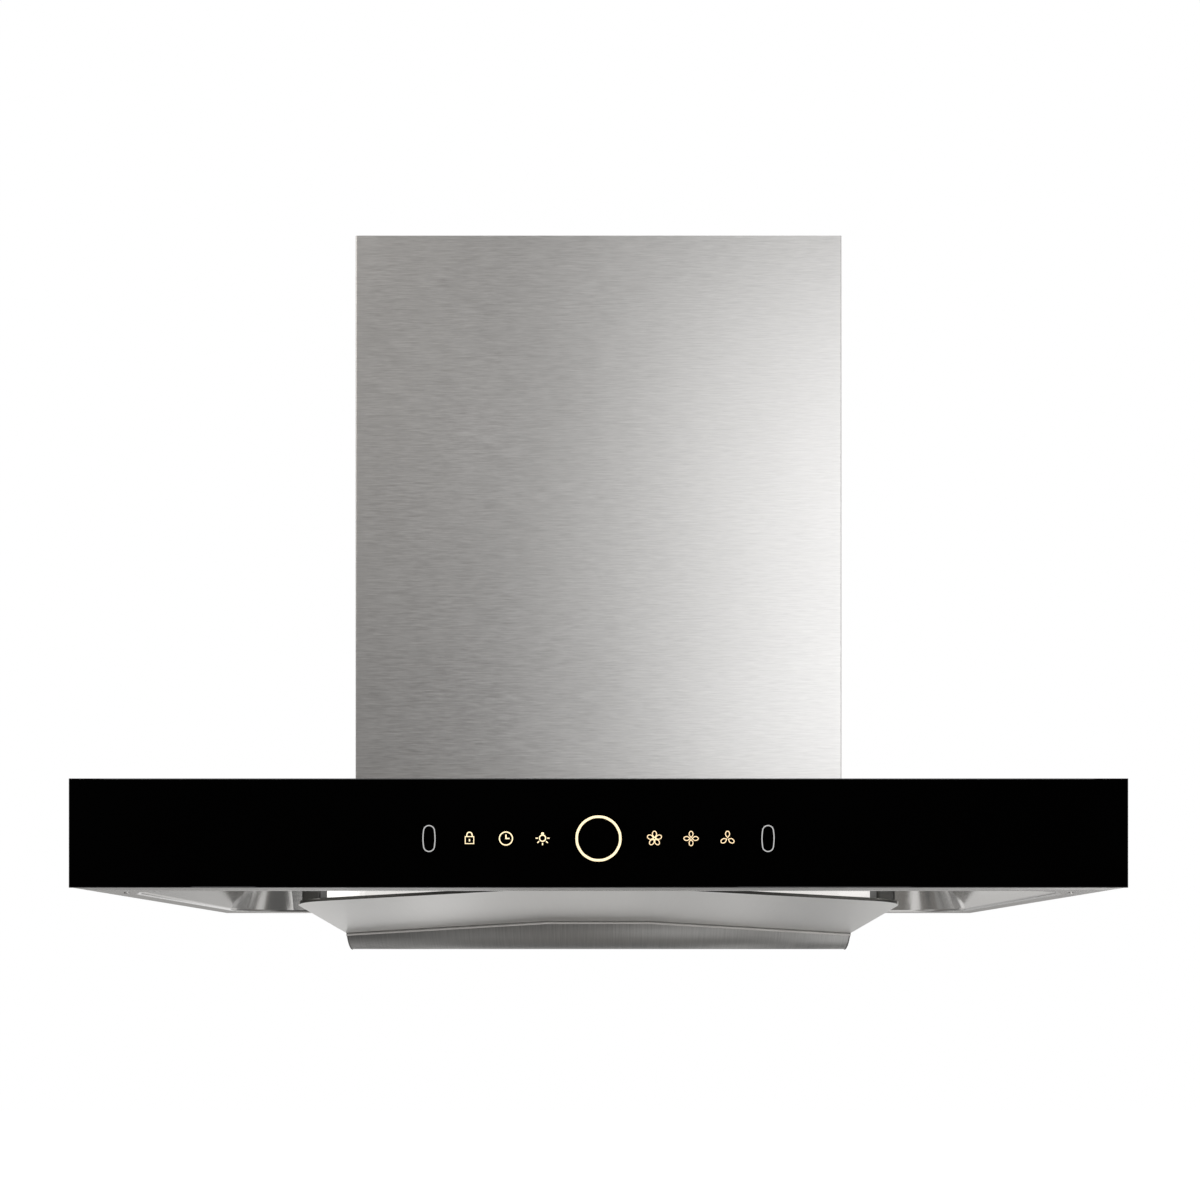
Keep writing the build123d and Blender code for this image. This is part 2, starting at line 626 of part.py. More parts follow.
# Hook in the recess, hung over the bracket's lip
with BuildPart() as hanger_hook:
    leg = -bracket_joggle + fit_gap
    with BuildSketch(Plane.YZ.offset(-hook_width / 2)):
        with BuildLine():
            Polyline(
                (-recess_depth, hook_low), (-recess_depth, bracket_high + hook_thick),
                (leg + hook_thick, bracket_high + hook_thick),
                (leg + hook_thick, bracket_high - hook_reach), (leg, bracket_high - hook_reach),
                (leg, bracket_high), (hook_thick - recess_depth, bracket_high),
                (hook_thick - recess_depth, hook_low), close=True,
            )
        make_face()
    extrude(amount=hook_width)

# Scroll outline: three growing quarters from the tongue to the neck
with BuildSketch(Plane.XZ) as scroll_outline:
    with BuildLine():
        second, third = scroll_start + scroll_step, scroll_start + 2 * scroll_step
        neck_wall = Line((neck_left, neck_top), (neck_left, blower_z + scroll_start + tongue_radius))
        tongue = RadiusArc(
            neck_wall @ 1, (neck_left - tongue_radius, blower_z + scroll_start), tongue_radius
        )
        roof = Line(tongue @ 1, (blower_x, blower_z + scroll_start))
        left = RadiusArc(roof @ 1, (blower_x - scroll_start, blower_z), -scroll_start)
        low = RadiusArc(left @ 1, (blower_x + scroll_step, blower_z - second), -second)
        right = RadiusArc(low @ 1, (neck_right, blower_z + scroll_step), -third)
        far_wall = Line(right @ 1, (neck_right, neck_top))
        Line(far_wall @ 1, neck_wall @ 0)
    make_face()

with BuildPart() as scroll_band:
    with BuildSketch(Plane.XZ.offset(-scroll_front)):
        add(scroll_outline.sketch)
        offset(amount=sheet)
        add(scroll_outline.sketch, mode=Mode.SUBTRACT)
        with Locations(((neck_left + neck_right) / 2, neck_top)):
            Rectangle(2 * (neck_right - neck_left), tongue_x, align=(Align.CENTER, Align.MIN),
                      mode=Mode.SUBTRACT)
    extrude(amount=scroll_front - scroll_back)

with BuildPart() as scroll_front_plate:
    with BuildSketch(Plane.XZ.offset(-scroll_front)):
        add(scroll_outline.sketch)
        offset(amount=seam)
        with Locations(((neck_left + neck_right) / 2, neck_top)):
            Rectangle(2 * (neck_right - neck_left), tongue_x, align=(Align.CENTER, Align.MIN),
                      mode=Mode.SUBTRACT)
        with Locations((blower_x, blower_z)):
            Circle(inlet_radius + inlet_lip, mode=Mode.SUBTRACT)
    extrude(amount=sheet)

# Back plate of the scroll, carried by flanges on the sides of the box
with BuildPart() as scroll_back_plate:
    carrier_height = neck_rise + carrier_low
    with Locations((0, scroll_back, neck_top)):
        Box(2 * panel_half, panel_flange, carrier_height, align=(Align.CENTER, Align.MIN, Align.MAX))
    with Locations((0, carrier_y, neck_top)):
        Box(2 * panel_half - 2 * sheet, panel_flange, carrier_height,
            align=(Align.CENTER, Align.MIN, Align.MAX), mode=Mode.SUBTRACT)
    with BuildSketch(Plane.XZ.offset(-scroll_back)):
        with Locations((blower_x, blower_z)):
            Circle(carrier_hole)
    extrude(amount=-2 * sheet, mode=Mode.SUBTRACT)

# Inlet ring: bell mouth on the front plate
with BuildPart() as inlet_ring:
    ring_face = scroll_front - sheet
    with BuildSketch(Plane((blower_x, 0, blower_z), x_dir=(0, 1, 0), z_dir=(1, 0, 0))):
        with BuildLine():
            mouth = RadiusArc((ring_face - sheet, inlet_radius + inlet_lip),
                              (ring_face + inlet_lip - sheet, inlet_radius), -inlet_lip)
            Line(mouth @ 1, (ring_face + inlet_lip - sheet, inlet_radius + sheet))
            back = RadiusArc((ring_face + inlet_lip - sheet, inlet_radius + sheet),
                             (ring_face, inlet_radius + inlet_lip), inlet_lip - sheet)
            Polyline(back @ 1, (ring_face, inlet_flange), (ring_face - sheet, inlet_flange), mouth @ 0)
        make_face()
    revolve(axis=Axis((blower_x, 0, blower_z), (0, 1, 0)))

# Impeller: forward curved blades between a disc and a ring, hub in the middle
with BuildSketch() as blade:
    with BuildLine():
        root = Vector(wheel_inner, 0)
        tip = Vector(wheel_radius - sheet, 0).rotate(Axis.Z, blade_lead)
        thickness = Vector(0, blade_thick)
        SagittaArc(root, tip, blade_bulge)
        Line(tip, tip + thickness)
        SagittaArc(root + thickness, tip + thickness, blade_bulge)
        Line(root, root + thickness)
    make_face()

with BuildPart() as impeller:
    with BuildSketch(Plane.XZ.offset(-wheel_back)):
        with Locations((blower_x, blower_z)):
            Circle(wheel_radius)
    extrude(amount=wheel_disc)
    with BuildSketch(Plane.XZ.offset(-wheel_front)):
        with Locations((blower_x, blower_z)):
            Circle(wheel_radius)
            Circle(wheel_inner + wheel_ring, mode=Mode.SUBTRACT)
    extrude(amount=-wheel_ring)
    with BuildSketch(Plane.XZ.offset(-wheel_back)):
        with Locations((blower_x, blower_z)):
            with PolarLocations(0, blade_count):
                add(blade.sketch)
    extrude(amount=wheel_back - wheel_front - wheel_ring / 2)
    with BuildSketch(Plane.XZ.offset(-wheel_back)):
        with Locations((blower_x, blower_z)):
            Circle(hub_radius)
    extrude(amount=hub_length)
    with BuildSketch(Plane.XZ.offset(-wheel_back)):
        with Locations((blower_x, blower_z)):
            Circle(shaft_radius)
    extrude(amount=hub_length, mode=Mode.SUBTRACT)

# Motor shaft and the nut that holds the impeller
with BuildPart() as motor_shaft:
    with BuildSketch(Plane.XZ.offset(-wheel_back + hub_length + nut_height + sheet)):
        with Locations((blower_x, blower_z)):
            Circle(shaft_radius)
    shaft_length = motor_face + motor_length / 2 - wheel_back + hub_length + nut_height + sheet
    extrude(amount=-shaft_length)
    chamfer(motor_shaft.faces().sort_by(Axis.Y)[0].edges(), sheet)

with BuildPart() as impeller_nut:
    with BuildSketch(Plane.XZ.offset(-wheel_back + hub_length)):
        with Locations((blower_x, blower_z)):
            RegularPolygon(nut_size / 2, 6)
            Circle(shaft_radius, mode=Mode.SUBTRACT)
    extrude(amount=nut_height)

# Motor, its three armed bracket and the rubber grommets between bracket and scroll
with BuildPart() as motor_body:
    with BuildSketch(Plane.XZ.offset(-motor_face)):
        with Locations((blower_x, blower_z)):
            Circle(motor_radius)
    extrude(amount=-motor_length)
    chamfer(motor_body.edges().filter_by(GeomType.CIRCLE), motor_chamfer)
    with BuildSketch(Plane.XZ.offset(-motor_face)):
        with Locations((blower_x, blower_z)):
            Circle(motor_boss)
    extrude(amount=motor_boss_length)
    with BuildSketch(Plane.XZ.offset(-motor_face + motor_boss_length)):
        with Locations((blower_x, blower_z)):
            Circle(shaft_radius + turn_gap)
    extrude(amount=-motor_boss_length - motor_length / 2 - sheet, mode=Mode.SUBTRACT)

with BuildPart() as motor_bracket:
    with BuildSketch(Plane.XZ.offset(-motor_face)):
        with Locations((blower_x, blower_z)):
            Circle(motor_radius)
            with PolarLocations(0, 3, 90):
                with Locations((bracket_arm / 2, 0)):
                    SlotOverall(bracket_arm, 2 * grommet_radius)
            Circle(motor_boss + fit_gap, mode=Mode.SUBTRACT)
    extrude(amount=bracket_sheet)

with BuildPart() as motor_grommets:
    with BuildSketch(Plane.XZ.offset(-carrier_y)):
        with Locations((blower_x, blower_z)):
            with PolarLocations(grommet_reach, 3, 90):
                Circle(grommet_radius)
    extrude(amount=-grommet_height)

def duct_outline(width, depth, corner):
    """Rectangle around its origin with its corners cut at 45 degrees."""
    with BuildSketch() as made:
        Rectangle(width, depth)
        chamfer(made.vertices(), corner)
    return made.sketch


def octagon(width):
    """Regular octagon of a width across its flats."""
    return duct_outline(width, width, width * (1 - sqrt(1 / 2)))


# Outlet transition: eight flats from the neck's rectangle to an octagon, a lid and a round sleeve
with BuildPart() as outlet_transition:
    sleeve_low = box_top - transition_top - transition_sleeve
    sleeve_radius = spigot_radius + screw_play
    neck_middle = ((neck_left + neck_right) / 2, (scroll_front + scroll_back) / 2)
    for grow, mode in ((sheet, Mode.ADD), (0, Mode.SUBTRACT)):
        with BuildSketch(Plane.XY.offset(neck_top)):
            with Locations(neck_middle):
                add(duct_outline(neck_right - neck_left + 2 * grow, scroll_back - scroll_front + 2 * grow,
                                 sheet + grow))
        with BuildSketch(Plane.XY.offset(sleeve_low)):
            with Locations((0, outlet_y)):
                add(octagon(2 * (sleeve_radius + sheet + grow)))
        loft(ruled=True, mode=mode)
    with BuildSketch(Plane.XY.offset(sleeve_low)):
        with Locations((0, outlet_y)):
            add(octagon(2 * (sleeve_radius + 2 * sheet)))
            Circle(sleeve_radius, mode=Mode.SUBTRACT)
    extrude(amount=sheet)
    with BuildSketch(Plane.XY.offset(sleeve_low)):
        with Locations((0, outlet_y)):
            Circle(sleeve_radius + sheet)
            Circle(sleeve_radius, mode=Mode.SUBTRACT)
    extrude(amount=transition_sleeve)

# Outlet collar: flange on the top panel, spigot below it, ledge for the damper flaps
with BuildPart() as outlet_collar:
    with BuildSketch(Plane.XZ.offset(-outlet_y)):
        with BuildLine():
            bore = collar_radius - collar_wall
            ledge_top = damper_z - damper_thick / 2
            Polyline(
                (collar_radius, box_top + collar_height), (collar_radius, box_top + collar_flange_thick),
                (collar_flange, box_top + collar_flange_thick), (collar_flange, box_top),
                (spigot_radius, box_top), (spigot_radius, box_top - spigot_length),
                (bore, box_top - spigot_length), (bore, ledge_top - 2 * sheet),
                (bore - damper_ledge, ledge_top - sheet), (bore - damper_ledge, ledge_top),
                (bore, ledge_top), (bore, box_top + collar_height), close=True,
            )
        make_face()
    revolve(axis=Axis((0, outlet_y, 0), (0, 0, 1)))
    with BuildSketch(Plane.XY.offset(box_top)):
        with Locations((0, outlet_y)):
            with PolarLocations(collar_screw_reach, 4, 45):
                Circle(screw_radius + screw_play)
    extrude(amount=collar_flange_thick, mode=Mode.SUBTRACT)
    with Locations((0, outlet_y, damper_z)):
        Cylinder(damper_pin_radius, 2 * collar_radius - collar_wall, rotation=(0, 90, 0), mode=Mode.SUBTRACT)

with BuildPart() as collar_screws:
    with Locations((0, outlet_y, box_top + collar_flange_thick)):
        with PolarLocations(collar_screw_reach, 4, 45):
            add(screw(collar_flange_thick + 6 * sheet), rotation=(180, 0, 0))

# Damper pin across the collar and two flaps whose knuckles share it
with BuildPart() as damper_pin:
    with Locations((0, outlet_y, damper_z)):
        Cylinder(damper_pin_radius, 2 * collar_radius - collar_wall, rotation=(0, 90, 0))


def damper_flap(side, knuckles):
    """Half disc beside the pin with a pair of knuckles, side -1 in front and +1 behind."""
    reach = collar_radius - collar_wall - damper_gap
    with BuildPart() as made:
        with BuildSketch(Plane.XY.offset(damper_z - damper_thick / 2)):
            with Locations((0, outlet_y)):
                Circle(reach)
            with Locations((0, outlet_y + side * (damper_barrel + fit_gap))):
                Rectangle(2 * reach, 2 * reach, align=(Align.CENTER, Align.MIN if side < 0 else Align.MAX),
                          mode=Mode.SUBTRACT)
            for end in (-1, 1):
                with Locations((end * sum(knuckles) / 2, outlet_y)):
                    Rectangle(knuckles[1] - knuckles[0], 2 * damper_barrel,
                              align=(Align.CENTER, Align.MAX if side < 0 else Align.MIN))
        extrude(amount=damper_thick)
        for end in (-1, 1):
            with Locations((end * sum(knuckles) / 2, outlet_y, damper_z)):
                Cylinder(damper_barrel, knuckles[1] - knuckles[0], rotation=(0, 90, 0))
        with Locations((0, outlet_y, damper_z)):
            Cylinder(damper_pin_radius + turn_gap, 2 * reach, rotation=(0, 90, 0), mode=Mode.SUBTRACT)
    return made


damper_flap_front = damper_flap(-1, damper_knuckles[0])
damper_flap_rear = damper_flap(1, damper_knuckles[1])

# Control box with its lid, capacitor with its strap, cord gland
with BuildPart() as control_box:
    with Locations((control_x, -sheet, control_z)):
        Box(control_width, control_depth, control_height, align=(Align.CENTER, Align.MAX, Align.CENTER))
    fillet(control_box.edges().filter_by(Axis.Y), 2 * lid_thick)
    offset(amount=-lid_thick, openings=control_box.faces().sort_by(Axis.Y)[0])

with BuildPart() as control_box_lid:
    with BuildSketch(Plane.XZ.offset(sheet + control_depth)):
        with Locations((control_x, control_z)):
            RectangleRounded(control_width + 2 * lid_thick, control_height + 2 * lid_thick, 3 * lid_thick)
    extrude(amount=lid_thick)
    chamfer(control_box_lid.faces().sort_by(Axis.Y)[0].edges(), lid_thick / 2)

with BuildPart() as capacitor:
    with BuildSketch(Plane.XY.offset(capacitor_z)):
        with Locations((capacitor_x, -sheet - capacitor_radius)):
            Circle(capacitor_radius)
    extrude(amount=capacitor_length)
    chamfer(capacitor.faces().sort_by(Axis.Z)[-1].edges(), 2 * sheet)

with BuildPart() as capacitor_strap:
    with BuildSketch(Plane.XY.offset(capacitor_z + (capacitor_length - strap_width) / 2)):
        with Locations((capacitor_x, -sheet - capacitor_radius)):
            Circle(capacitor_radius + sheet)
        with Locations((capacitor_x, -sheet)):
            Rectangle(2 * (capacitor_radius + sheet), capacitor_radius, align=(Align.CENTER, Align.MAX))
            Rectangle(2 * (capacitor_radius + strap_foot), sheet, align=(Align.CENTER, Align.MAX))
        with Locations((capacitor_x, -sheet - capacitor_radius)):
            Circle(capacitor_radius, mode=Mode.SUBTRACT)
        with Locations((capacitor_x, 0)):
            Rectangle(2 * capacitor_radius, capacitor_radius + sheet, align=(Align.CENTER, Align.MAX),
                      mode=Mode.SUBTRACT)
            Rectangle(4 * box_width, sheet, align=(Align.CENTER, Align.MAX), mode=Mode.SUBTRACT)
    extrude(amount=strap_width)

with BuildPart() as cord_gland:
    with Locations((gland_x, gland_y, box_top)):
        Cylinder(gland_radius, gland_radius / 2, align=(Align.CENTER, Align.CENTER, Align.MIN))
        Cylinder(gland_radius - 2 * sheet, gland_radius, align=(Align.CENTER, Align.CENTER, Align.MAX))
    chamfer(cord_gland.faces().sort_by(Axis.Z)[-1].edges(), 2 * sheet)
    with Locations((gland_x, gland_y, box_top)):
        Cylinder(gland_bore / 2, 4 * gland_radius, mode=Mode.SUBTRACT)

# Export, one file for each piece
pieces = {
    "glass_panel": glass_panel, "fascia_frame": fascia_frame, "touch_board": touch_board,
    "ring_light_guide": ring_light_guide, "gesture_sensors": gesture_sensors,
    "canopy_shell": canopy_shell, "inner_pan": inner_pan, "intake_throat": intake_throat,
    "intake_grille": intake_grille, "grille_screws": grille_screws,
    "lamp_lens_left": lamp_lens_left, "lamp_lens_right": lamp_lens_right,
    "lamp_housing_left": lamp_housing_left, "lamp_housing_right": lamp_housing_right,
    "lift_guide_left": lift_guide_left, "lift_guide_right": lift_guide_right,
    "lift_motor_left": lift_motor_left, "lift_motor_right": lift_motor_right,
    "capture_plate": capture_plate, "lift_arm_left": lift_arm_left, "lift_arm_right": lift_arm_right,
    "tray_hangers": tray_hangers, "tray_magnets": tray_magnets, "oil_tray": oil_tray,
    "box_cover": box_cover, "back_panel": back_panel, "top_panel": top_panel,
    "wall_bracket": wall_bracket, "hanger_hook": hanger_hook, "scroll_band": scroll_band,
    "scroll_front_plate": scroll_front_plate, "scroll_back_plate": scroll_back_plate,
    "inlet_ring": inlet_ring, "impeller": impeller, "motor_shaft": motor_shaft,
    "impeller_nut": impeller_nut, "motor_body": motor_body, "motor_bracket": motor_bracket,
    "motor_grommets": motor_grommets, "outlet_transition": outlet_transition,
    "outlet_collar": outlet_collar, "collar_screws": collar_screws, "damper_pin": damper_pin,
    "damper_flap_front": damper_flap_front, "damper_flap_rear": damper_flap_rear,
    "control_box": control_box, "control_box_lid": control_box_lid, "capacitor": capacitor,
    "capacitor_strap": capacitor_strap, "cord_gland": cord_gland,
}

os.makedirs("parts", exist_ok=True)
for name, piece in pieces.items():
    piece.part.label = name
    export_step(piece.part, f"parts/{name}.step")
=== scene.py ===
"""Looks of the wall mount range hood: finishes, touch signs, small fasteners and the studio.

Lengths in metres unless a name ends in _mm. +X is the viewer's right, +Y points to the wall, +Z is up.
"""
import logging
import math
from abc import ABC, abstractmethod
from dataclasses import dataclass, field
from enum import Enum
from typing import Callable, ClassVar, Iterable, Sequence, Union

import bmesh
import bpy
from mathutils import Matrix, Vector


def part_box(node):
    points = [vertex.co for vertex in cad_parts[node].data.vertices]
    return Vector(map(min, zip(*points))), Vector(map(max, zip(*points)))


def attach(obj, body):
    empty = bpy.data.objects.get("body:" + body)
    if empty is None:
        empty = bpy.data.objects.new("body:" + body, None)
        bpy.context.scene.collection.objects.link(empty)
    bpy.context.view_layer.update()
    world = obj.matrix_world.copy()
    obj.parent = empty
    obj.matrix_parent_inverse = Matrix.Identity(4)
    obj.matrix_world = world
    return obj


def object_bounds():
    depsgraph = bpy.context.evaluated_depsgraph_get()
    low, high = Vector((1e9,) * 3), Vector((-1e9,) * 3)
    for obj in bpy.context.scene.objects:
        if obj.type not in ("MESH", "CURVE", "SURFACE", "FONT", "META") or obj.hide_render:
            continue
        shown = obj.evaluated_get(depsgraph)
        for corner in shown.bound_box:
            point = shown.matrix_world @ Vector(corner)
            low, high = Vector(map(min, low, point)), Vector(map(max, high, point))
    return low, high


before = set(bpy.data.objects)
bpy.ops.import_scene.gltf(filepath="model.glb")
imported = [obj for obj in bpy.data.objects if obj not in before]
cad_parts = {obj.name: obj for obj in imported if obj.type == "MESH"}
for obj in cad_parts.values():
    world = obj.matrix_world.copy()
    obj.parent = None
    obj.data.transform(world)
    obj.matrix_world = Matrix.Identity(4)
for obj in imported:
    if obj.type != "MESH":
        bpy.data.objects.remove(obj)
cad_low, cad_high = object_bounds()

log = logging.getLogger("range_hood")

MM = 0.001
Colour = tuple[float, float, float]
Point = tuple[float, float]
BLACK: Colour = (0.0, 0.0, 0.0)
WHITE: Colour = (1.0, 1.0, 1.0)
Feed = Union[float, Sequence[float], bpy.types.NodeSocket]
Sockets = dict[str, bpy.types.NodeSocket]
GroupFiller = Callable[["NodeGraph", bpy.types.Node], Sockets]


class Body(str, Enum):
    """Moving bodies of the hood that a piece can ride on."""

    HOOD = "hood"
    SHIELD = "shield"
    TRAY = "tray"


class Slot(str, Enum):
    """Material slots of the record that the new pieces belong to."""

    LIT = "light_guide"
    PRINT = "grey_plastic"
    SCREW = "bright_steel"
    TRAY = "tray_steel"
    DARK = "dark_arm"


class Grain(Enum):
    """Direction of a brushed grain, as noise cells per metre along X, Y and Z."""

    LEVEL = (95.0, 95.0, 1500.0)
    SIDEWAYS = (40.0, 1500.0, 1500.0)
    LENGTHWAYS = (1200.0, 30.0, 30.0)


class NodeGraph:
    """Adds nodes to one tree and links or sets their inputs."""

    def __init__(self, tree: bpy.types.NodeTree) -> None:
        """Keeps the tree that the nodes are added to."""
        self.tree = tree

    def add(self, kind: str, inputs: dict[Union[str, int], Feed] | None = None,
            **settings: object) -> bpy.types.Node:
        """Adds one node.

        Args:
            kind: Type name of the node.
            inputs: Value or source socket for each named or numbered input.
            settings: Properties of the node itself.

        Returns:
            The new node.
        """
        node = self.tree.nodes.new(kind)
        for name, value in settings.items():
            setattr(node, name, value)
        for name, value in (inputs or {}).items():
            self.feed(node.inputs[name], value)
        return node

    def feed(self, socket: bpy.types.NodeSocket, value: Feed) -> None:
        """Links a source socket to an input, or sets the input to a plain value.

        Args:
            socket: Input to fill.
            value: Source socket, number or list of numbers.
        """
        if isinstance(value, bpy.types.NodeSocket):
            self.tree.links.new(value, socket)
        else:
            socket.default_value = value

    def spread(self, value: bpy.types.NodeSocket, low: float, high: float,
               start: float = 0.0, stop: float = 1.0) -> bpy.types.NodeSocket:
        """Maps a mask onto a range of values.

        Args:
            value: Mask to map.
            low: Result where the mask is at start.
            high: Result where the mask is at stop.
            start: Lower end of the mask.
            stop: Upper end of the mask.

        Returns:
            Socket with the mapped value.
        """
        inputs = {"Value": value, "From Min": start, "From Max": stop, "To Min": low, "To Max": high}
        return self.add("ShaderNodeMapRange", inputs).outputs["Result"]

    def tint(self, mask: bpy.types.NodeSocket, first: Colour, second: Colour) -> bpy.types.NodeSocket:
        """Mixes two colours by a mask.

        Args:
            mask: Share of the second colour.
            first: Colour where the mask is 0.
            second: Colour where the mask is 1.

        Returns:
            Socket with the mixed colour.
        """
        node = self.add("ShaderNodeMix", data_type="RGBA")
        self.feed(node.inputs[0], mask)
        self.feed(node.inputs[6], (*first, 1.0))
        self.feed(node.inputs[7], (*second, 1.0))
        return node.outputs[2]

    def noise(self, vector: bpy.types.NodeSocket, scale: Feed, detail: float,
              roughness: float) -> bpy.types.NodeSocket:
        """Adds a noise texture.

        Args:
            vector: Coordinates of the pattern.
            scale: Cells per unit.
            detail: Number of finer layers.
            roughness: Weight of the finer layers.

        Returns:
            Socket with the noise value.
        """
        inputs = {"Vector": vector, "Scale": scale, "Detail": detail, "Roughness": roughness}
        return self.add("ShaderNodeTexNoise", inputs).outputs[0]

    def object_point(self) -> bpy.types.NodeSocket:
        """Gives the object coordinates."""
        return self.add("ShaderNodeTexCoord").outputs["Object"]


class SharedEffects:
    """Node groups that several finishes share, each built once."""

    @staticmethod
    def group(name: str, inputs: Sequence[tuple[str, str]], outputs: Sequence[str],
              fill: GroupFiller) -> bpy.types.NodeTree:
        """Builds a node group, or finds it if it was built before.

        Args:
            name: Name of the group.
            inputs: Name and socket type of each input.
            outputs: Names of the value outputs.
            fill: Builds the inside and gives the socket behind each output.

        Returns:
            The node group.
        """
        found = bpy.data.node_groups.get(name)
        if found:
            return found
        tree = bpy.data.node_groups.new(name, "ShaderNodeTree")
        for label, kind in inputs:
            tree.interface.new_socket(label, in_out="INPUT", socket_type=kind)
        for label in outputs:
            tree.interface.new_socket(label, in_out="OUTPUT", socket_type="NodeSocketFloat")
        graph = NodeGraph(tree)
        made = fill(graph, graph.add("NodeGroupInput"))
        graph.add("NodeGroupOutput", made)
        return tree

    @classmethod
    def brushed_grain(cls) -> bpy.types.NodeTree:
        """Makes fine strokes and longer streaks, stretched along the brushing.

        Returns:
            The node group.
        """
        fine_scale, coarse_scale = 1.0, 0.45
        faint, strong = 0.62, 1.38

        def fill(graph: NodeGraph, given: bpy.types.Node) -> Sockets:
            """Adds a fine and a coarse stretched noise.

            Args:
                graph: Graph of the group.
                given: Its input node.

            Returns:
                Socket behind each output.
            """
            inputs = {0: given.outputs["Vector"], 1: given.outputs["Stretch"]}
            stretched = graph.add("ShaderNodeVectorMath", inputs, operation="MULTIPLY").outputs[0]
            fine = graph.noise(stretched, fine_scale, detail=2.0, roughness=0.6)
            coarse = graph.noise(stretched, coarse_scale, detail=2.0, roughness=0.55)
            both = graph.add("ShaderNodeMath", {0: fine, 1: coarse}, operation="ADD").outputs[0]
            return {"Streak": graph.spread(both, 0.0, 1.0, faint, strong), "Height": fine}

        sockets = (("Vector", "NodeSocketVector"), ("Stretch", "NodeSocketVector"))
        return cls.group("brushed_grain", sockets, ("Streak", "Height"), fill)

    @classmethod
    def handling_marks(cls) -> bpy.types.NodeTree:
        """Makes soft patches, as wiping and handling leave them on a smooth surface.

        Returns:
            The node group.
        """
        faint, strong = 0.35, 0.7

        def fill(graph: NodeGraph, given: bpy.types.Node) -> Sockets:
            """Makes broad patches with finer ones in them.

            Args:
                graph: Graph of the group.
                given: Its input node.

            Returns:
                Socket behind each output.
            """
            broad = graph.noise(given.outputs["Vector"], given.outputs["Scale"], detail=3.0, roughness=0.55)
            return {"Mask": graph.spread(broad, 0.0, 1.0, faint, strong)}

        sockets = (("Vector", "NodeSocketVector"), ("Scale", "NodeSocketFloat"))
        return cls.group("handling_marks", sockets, ("Mask",), fill)

    @classmethod
    def moulded_texture(cls) -> bpy.types.NodeTree:
        """Makes the fine spark texture of a moulded surface, with faint flow marks.

        Returns:
            The node group.
        """
        flow_scale = 14.0

        def fill(graph: NodeGraph, given: bpy.types.Node) -> Sockets:
            """Makes fine pits and a slow change of tone.

            Args:
                graph: Graph of the group.
                given: Its input node.

            Returns:
                Socket behind each output.
            """
            pits = graph.noise(given.outputs["Vector"], given.outputs["Scale"], detail=1.0, roughness=0.6)
            flow = graph.noise(given.outputs["Vector"], flow_scale, detail=2.0, roughness=0.5)
            return {"Height": pits, "Tone": flow}

        sockets = (("Vector", "NodeSocketVector"), ("Scale", "NodeSocketFloat"))
        return cls.group("moulded_texture", sockets, ("Height", "Tone"), fill)


@dataclass(frozen=True)
class Finish(ABC):
    """A surface finish with one procedural material."""

    name: str
    colour: Colour
    roughness: float

    def material(self) -> bpy.types.Material:
        """Builds the material, or finds it if it was built before.

        Returns:
            The material.
        """
        found = bpy.data.materials.get(self.name)
        if found:
            return found
        made = bpy.data.materials.new(self.name)
        made.use_nodes = True
        made.node_tree.nodes.clear()
        graph = NodeGraph(made.node_tree)
        shader = graph.add("ShaderNodeBsdfPrincipled")
        graph.add("ShaderNodeOutputMaterial", {"Surface": shader.outputs[0]})
        made.diffuse_color = (*self.colour, 1.0)
        self.shade(graph, shader)
        return made

    @abstractmethod
    def shade(self, graph: NodeGraph, shader: bpy.types.Node) -> None:
        """Fills the inputs of the shader.

        Args:
            graph: Graph of the material.
            shader: Its principled shader.
        """

    def shaded(self, share: float) -> Colour:
        """Gives the colour times a share."""
        return tuple(channel * share for channel in self.colour)

    def marks(self, graph: NodeGraph, point: bpy.types.NodeSocket, scale: float) -> bpy.types.NodeSocket:
        """Adds the shared handling marks.

        Args:
            graph: Graph of the material.
            point: Coordinates of the pattern.
            scale: Patches per metre.

        Returns:
            Socket with the mask of the marks.
        """
        node = graph.add("ShaderNodeGroup", node_tree=SharedEffects.handling_marks())
        graph.feed(node.inputs["Vector"], point)
        graph.feed(node.inputs["Scale"], scale)
        return node.outputs["Mask"]

    def vary(self, graph: NodeGraph, shader: bpy.types.Node, mask: bpy.types.NodeSocket,
             tones: Point, gloss_change: float) -> None:
        """Lets tone and gloss change over the surface.

        Args:
            graph: Graph of the material.
            shader: Its principled shader.
            mask: Mask of the change.
            tones: Shares of the colour where the mask is 0 and where it is 1.
            gloss_change: Change of the roughness to both sides.
        """
        dark, light = (self.shaded(share) for share in tones)
        graph.feed(shader.inputs["Base Color"], graph.tint(mask, dark, light))
        low, high = self.roughness - gloss_change, self.roughness + gloss_change
        graph.feed(shader.inputs["Roughness"], graph.spread(mask, low, high))

    def bump(self, graph: NodeGraph, shader: bpy.types.Node, height: bpy.types.NodeSocket,
             strength: float, depth_mm: float) -> None:
        """Gives the shader a relief.

        Args:
            graph: Graph of the material.
            shader: Its principled shader.
            height: Socket with the height of the relief.
            strength: Weight of the relief.
            depth_mm: Depth of the relief.
        """
        inputs = {"Height": height, "Strength": strength, "Distance": depth_mm * MM}
        graph.feed(shader.inputs["Normal"], graph.add("ShaderNodeBump", inputs).outputs[0])


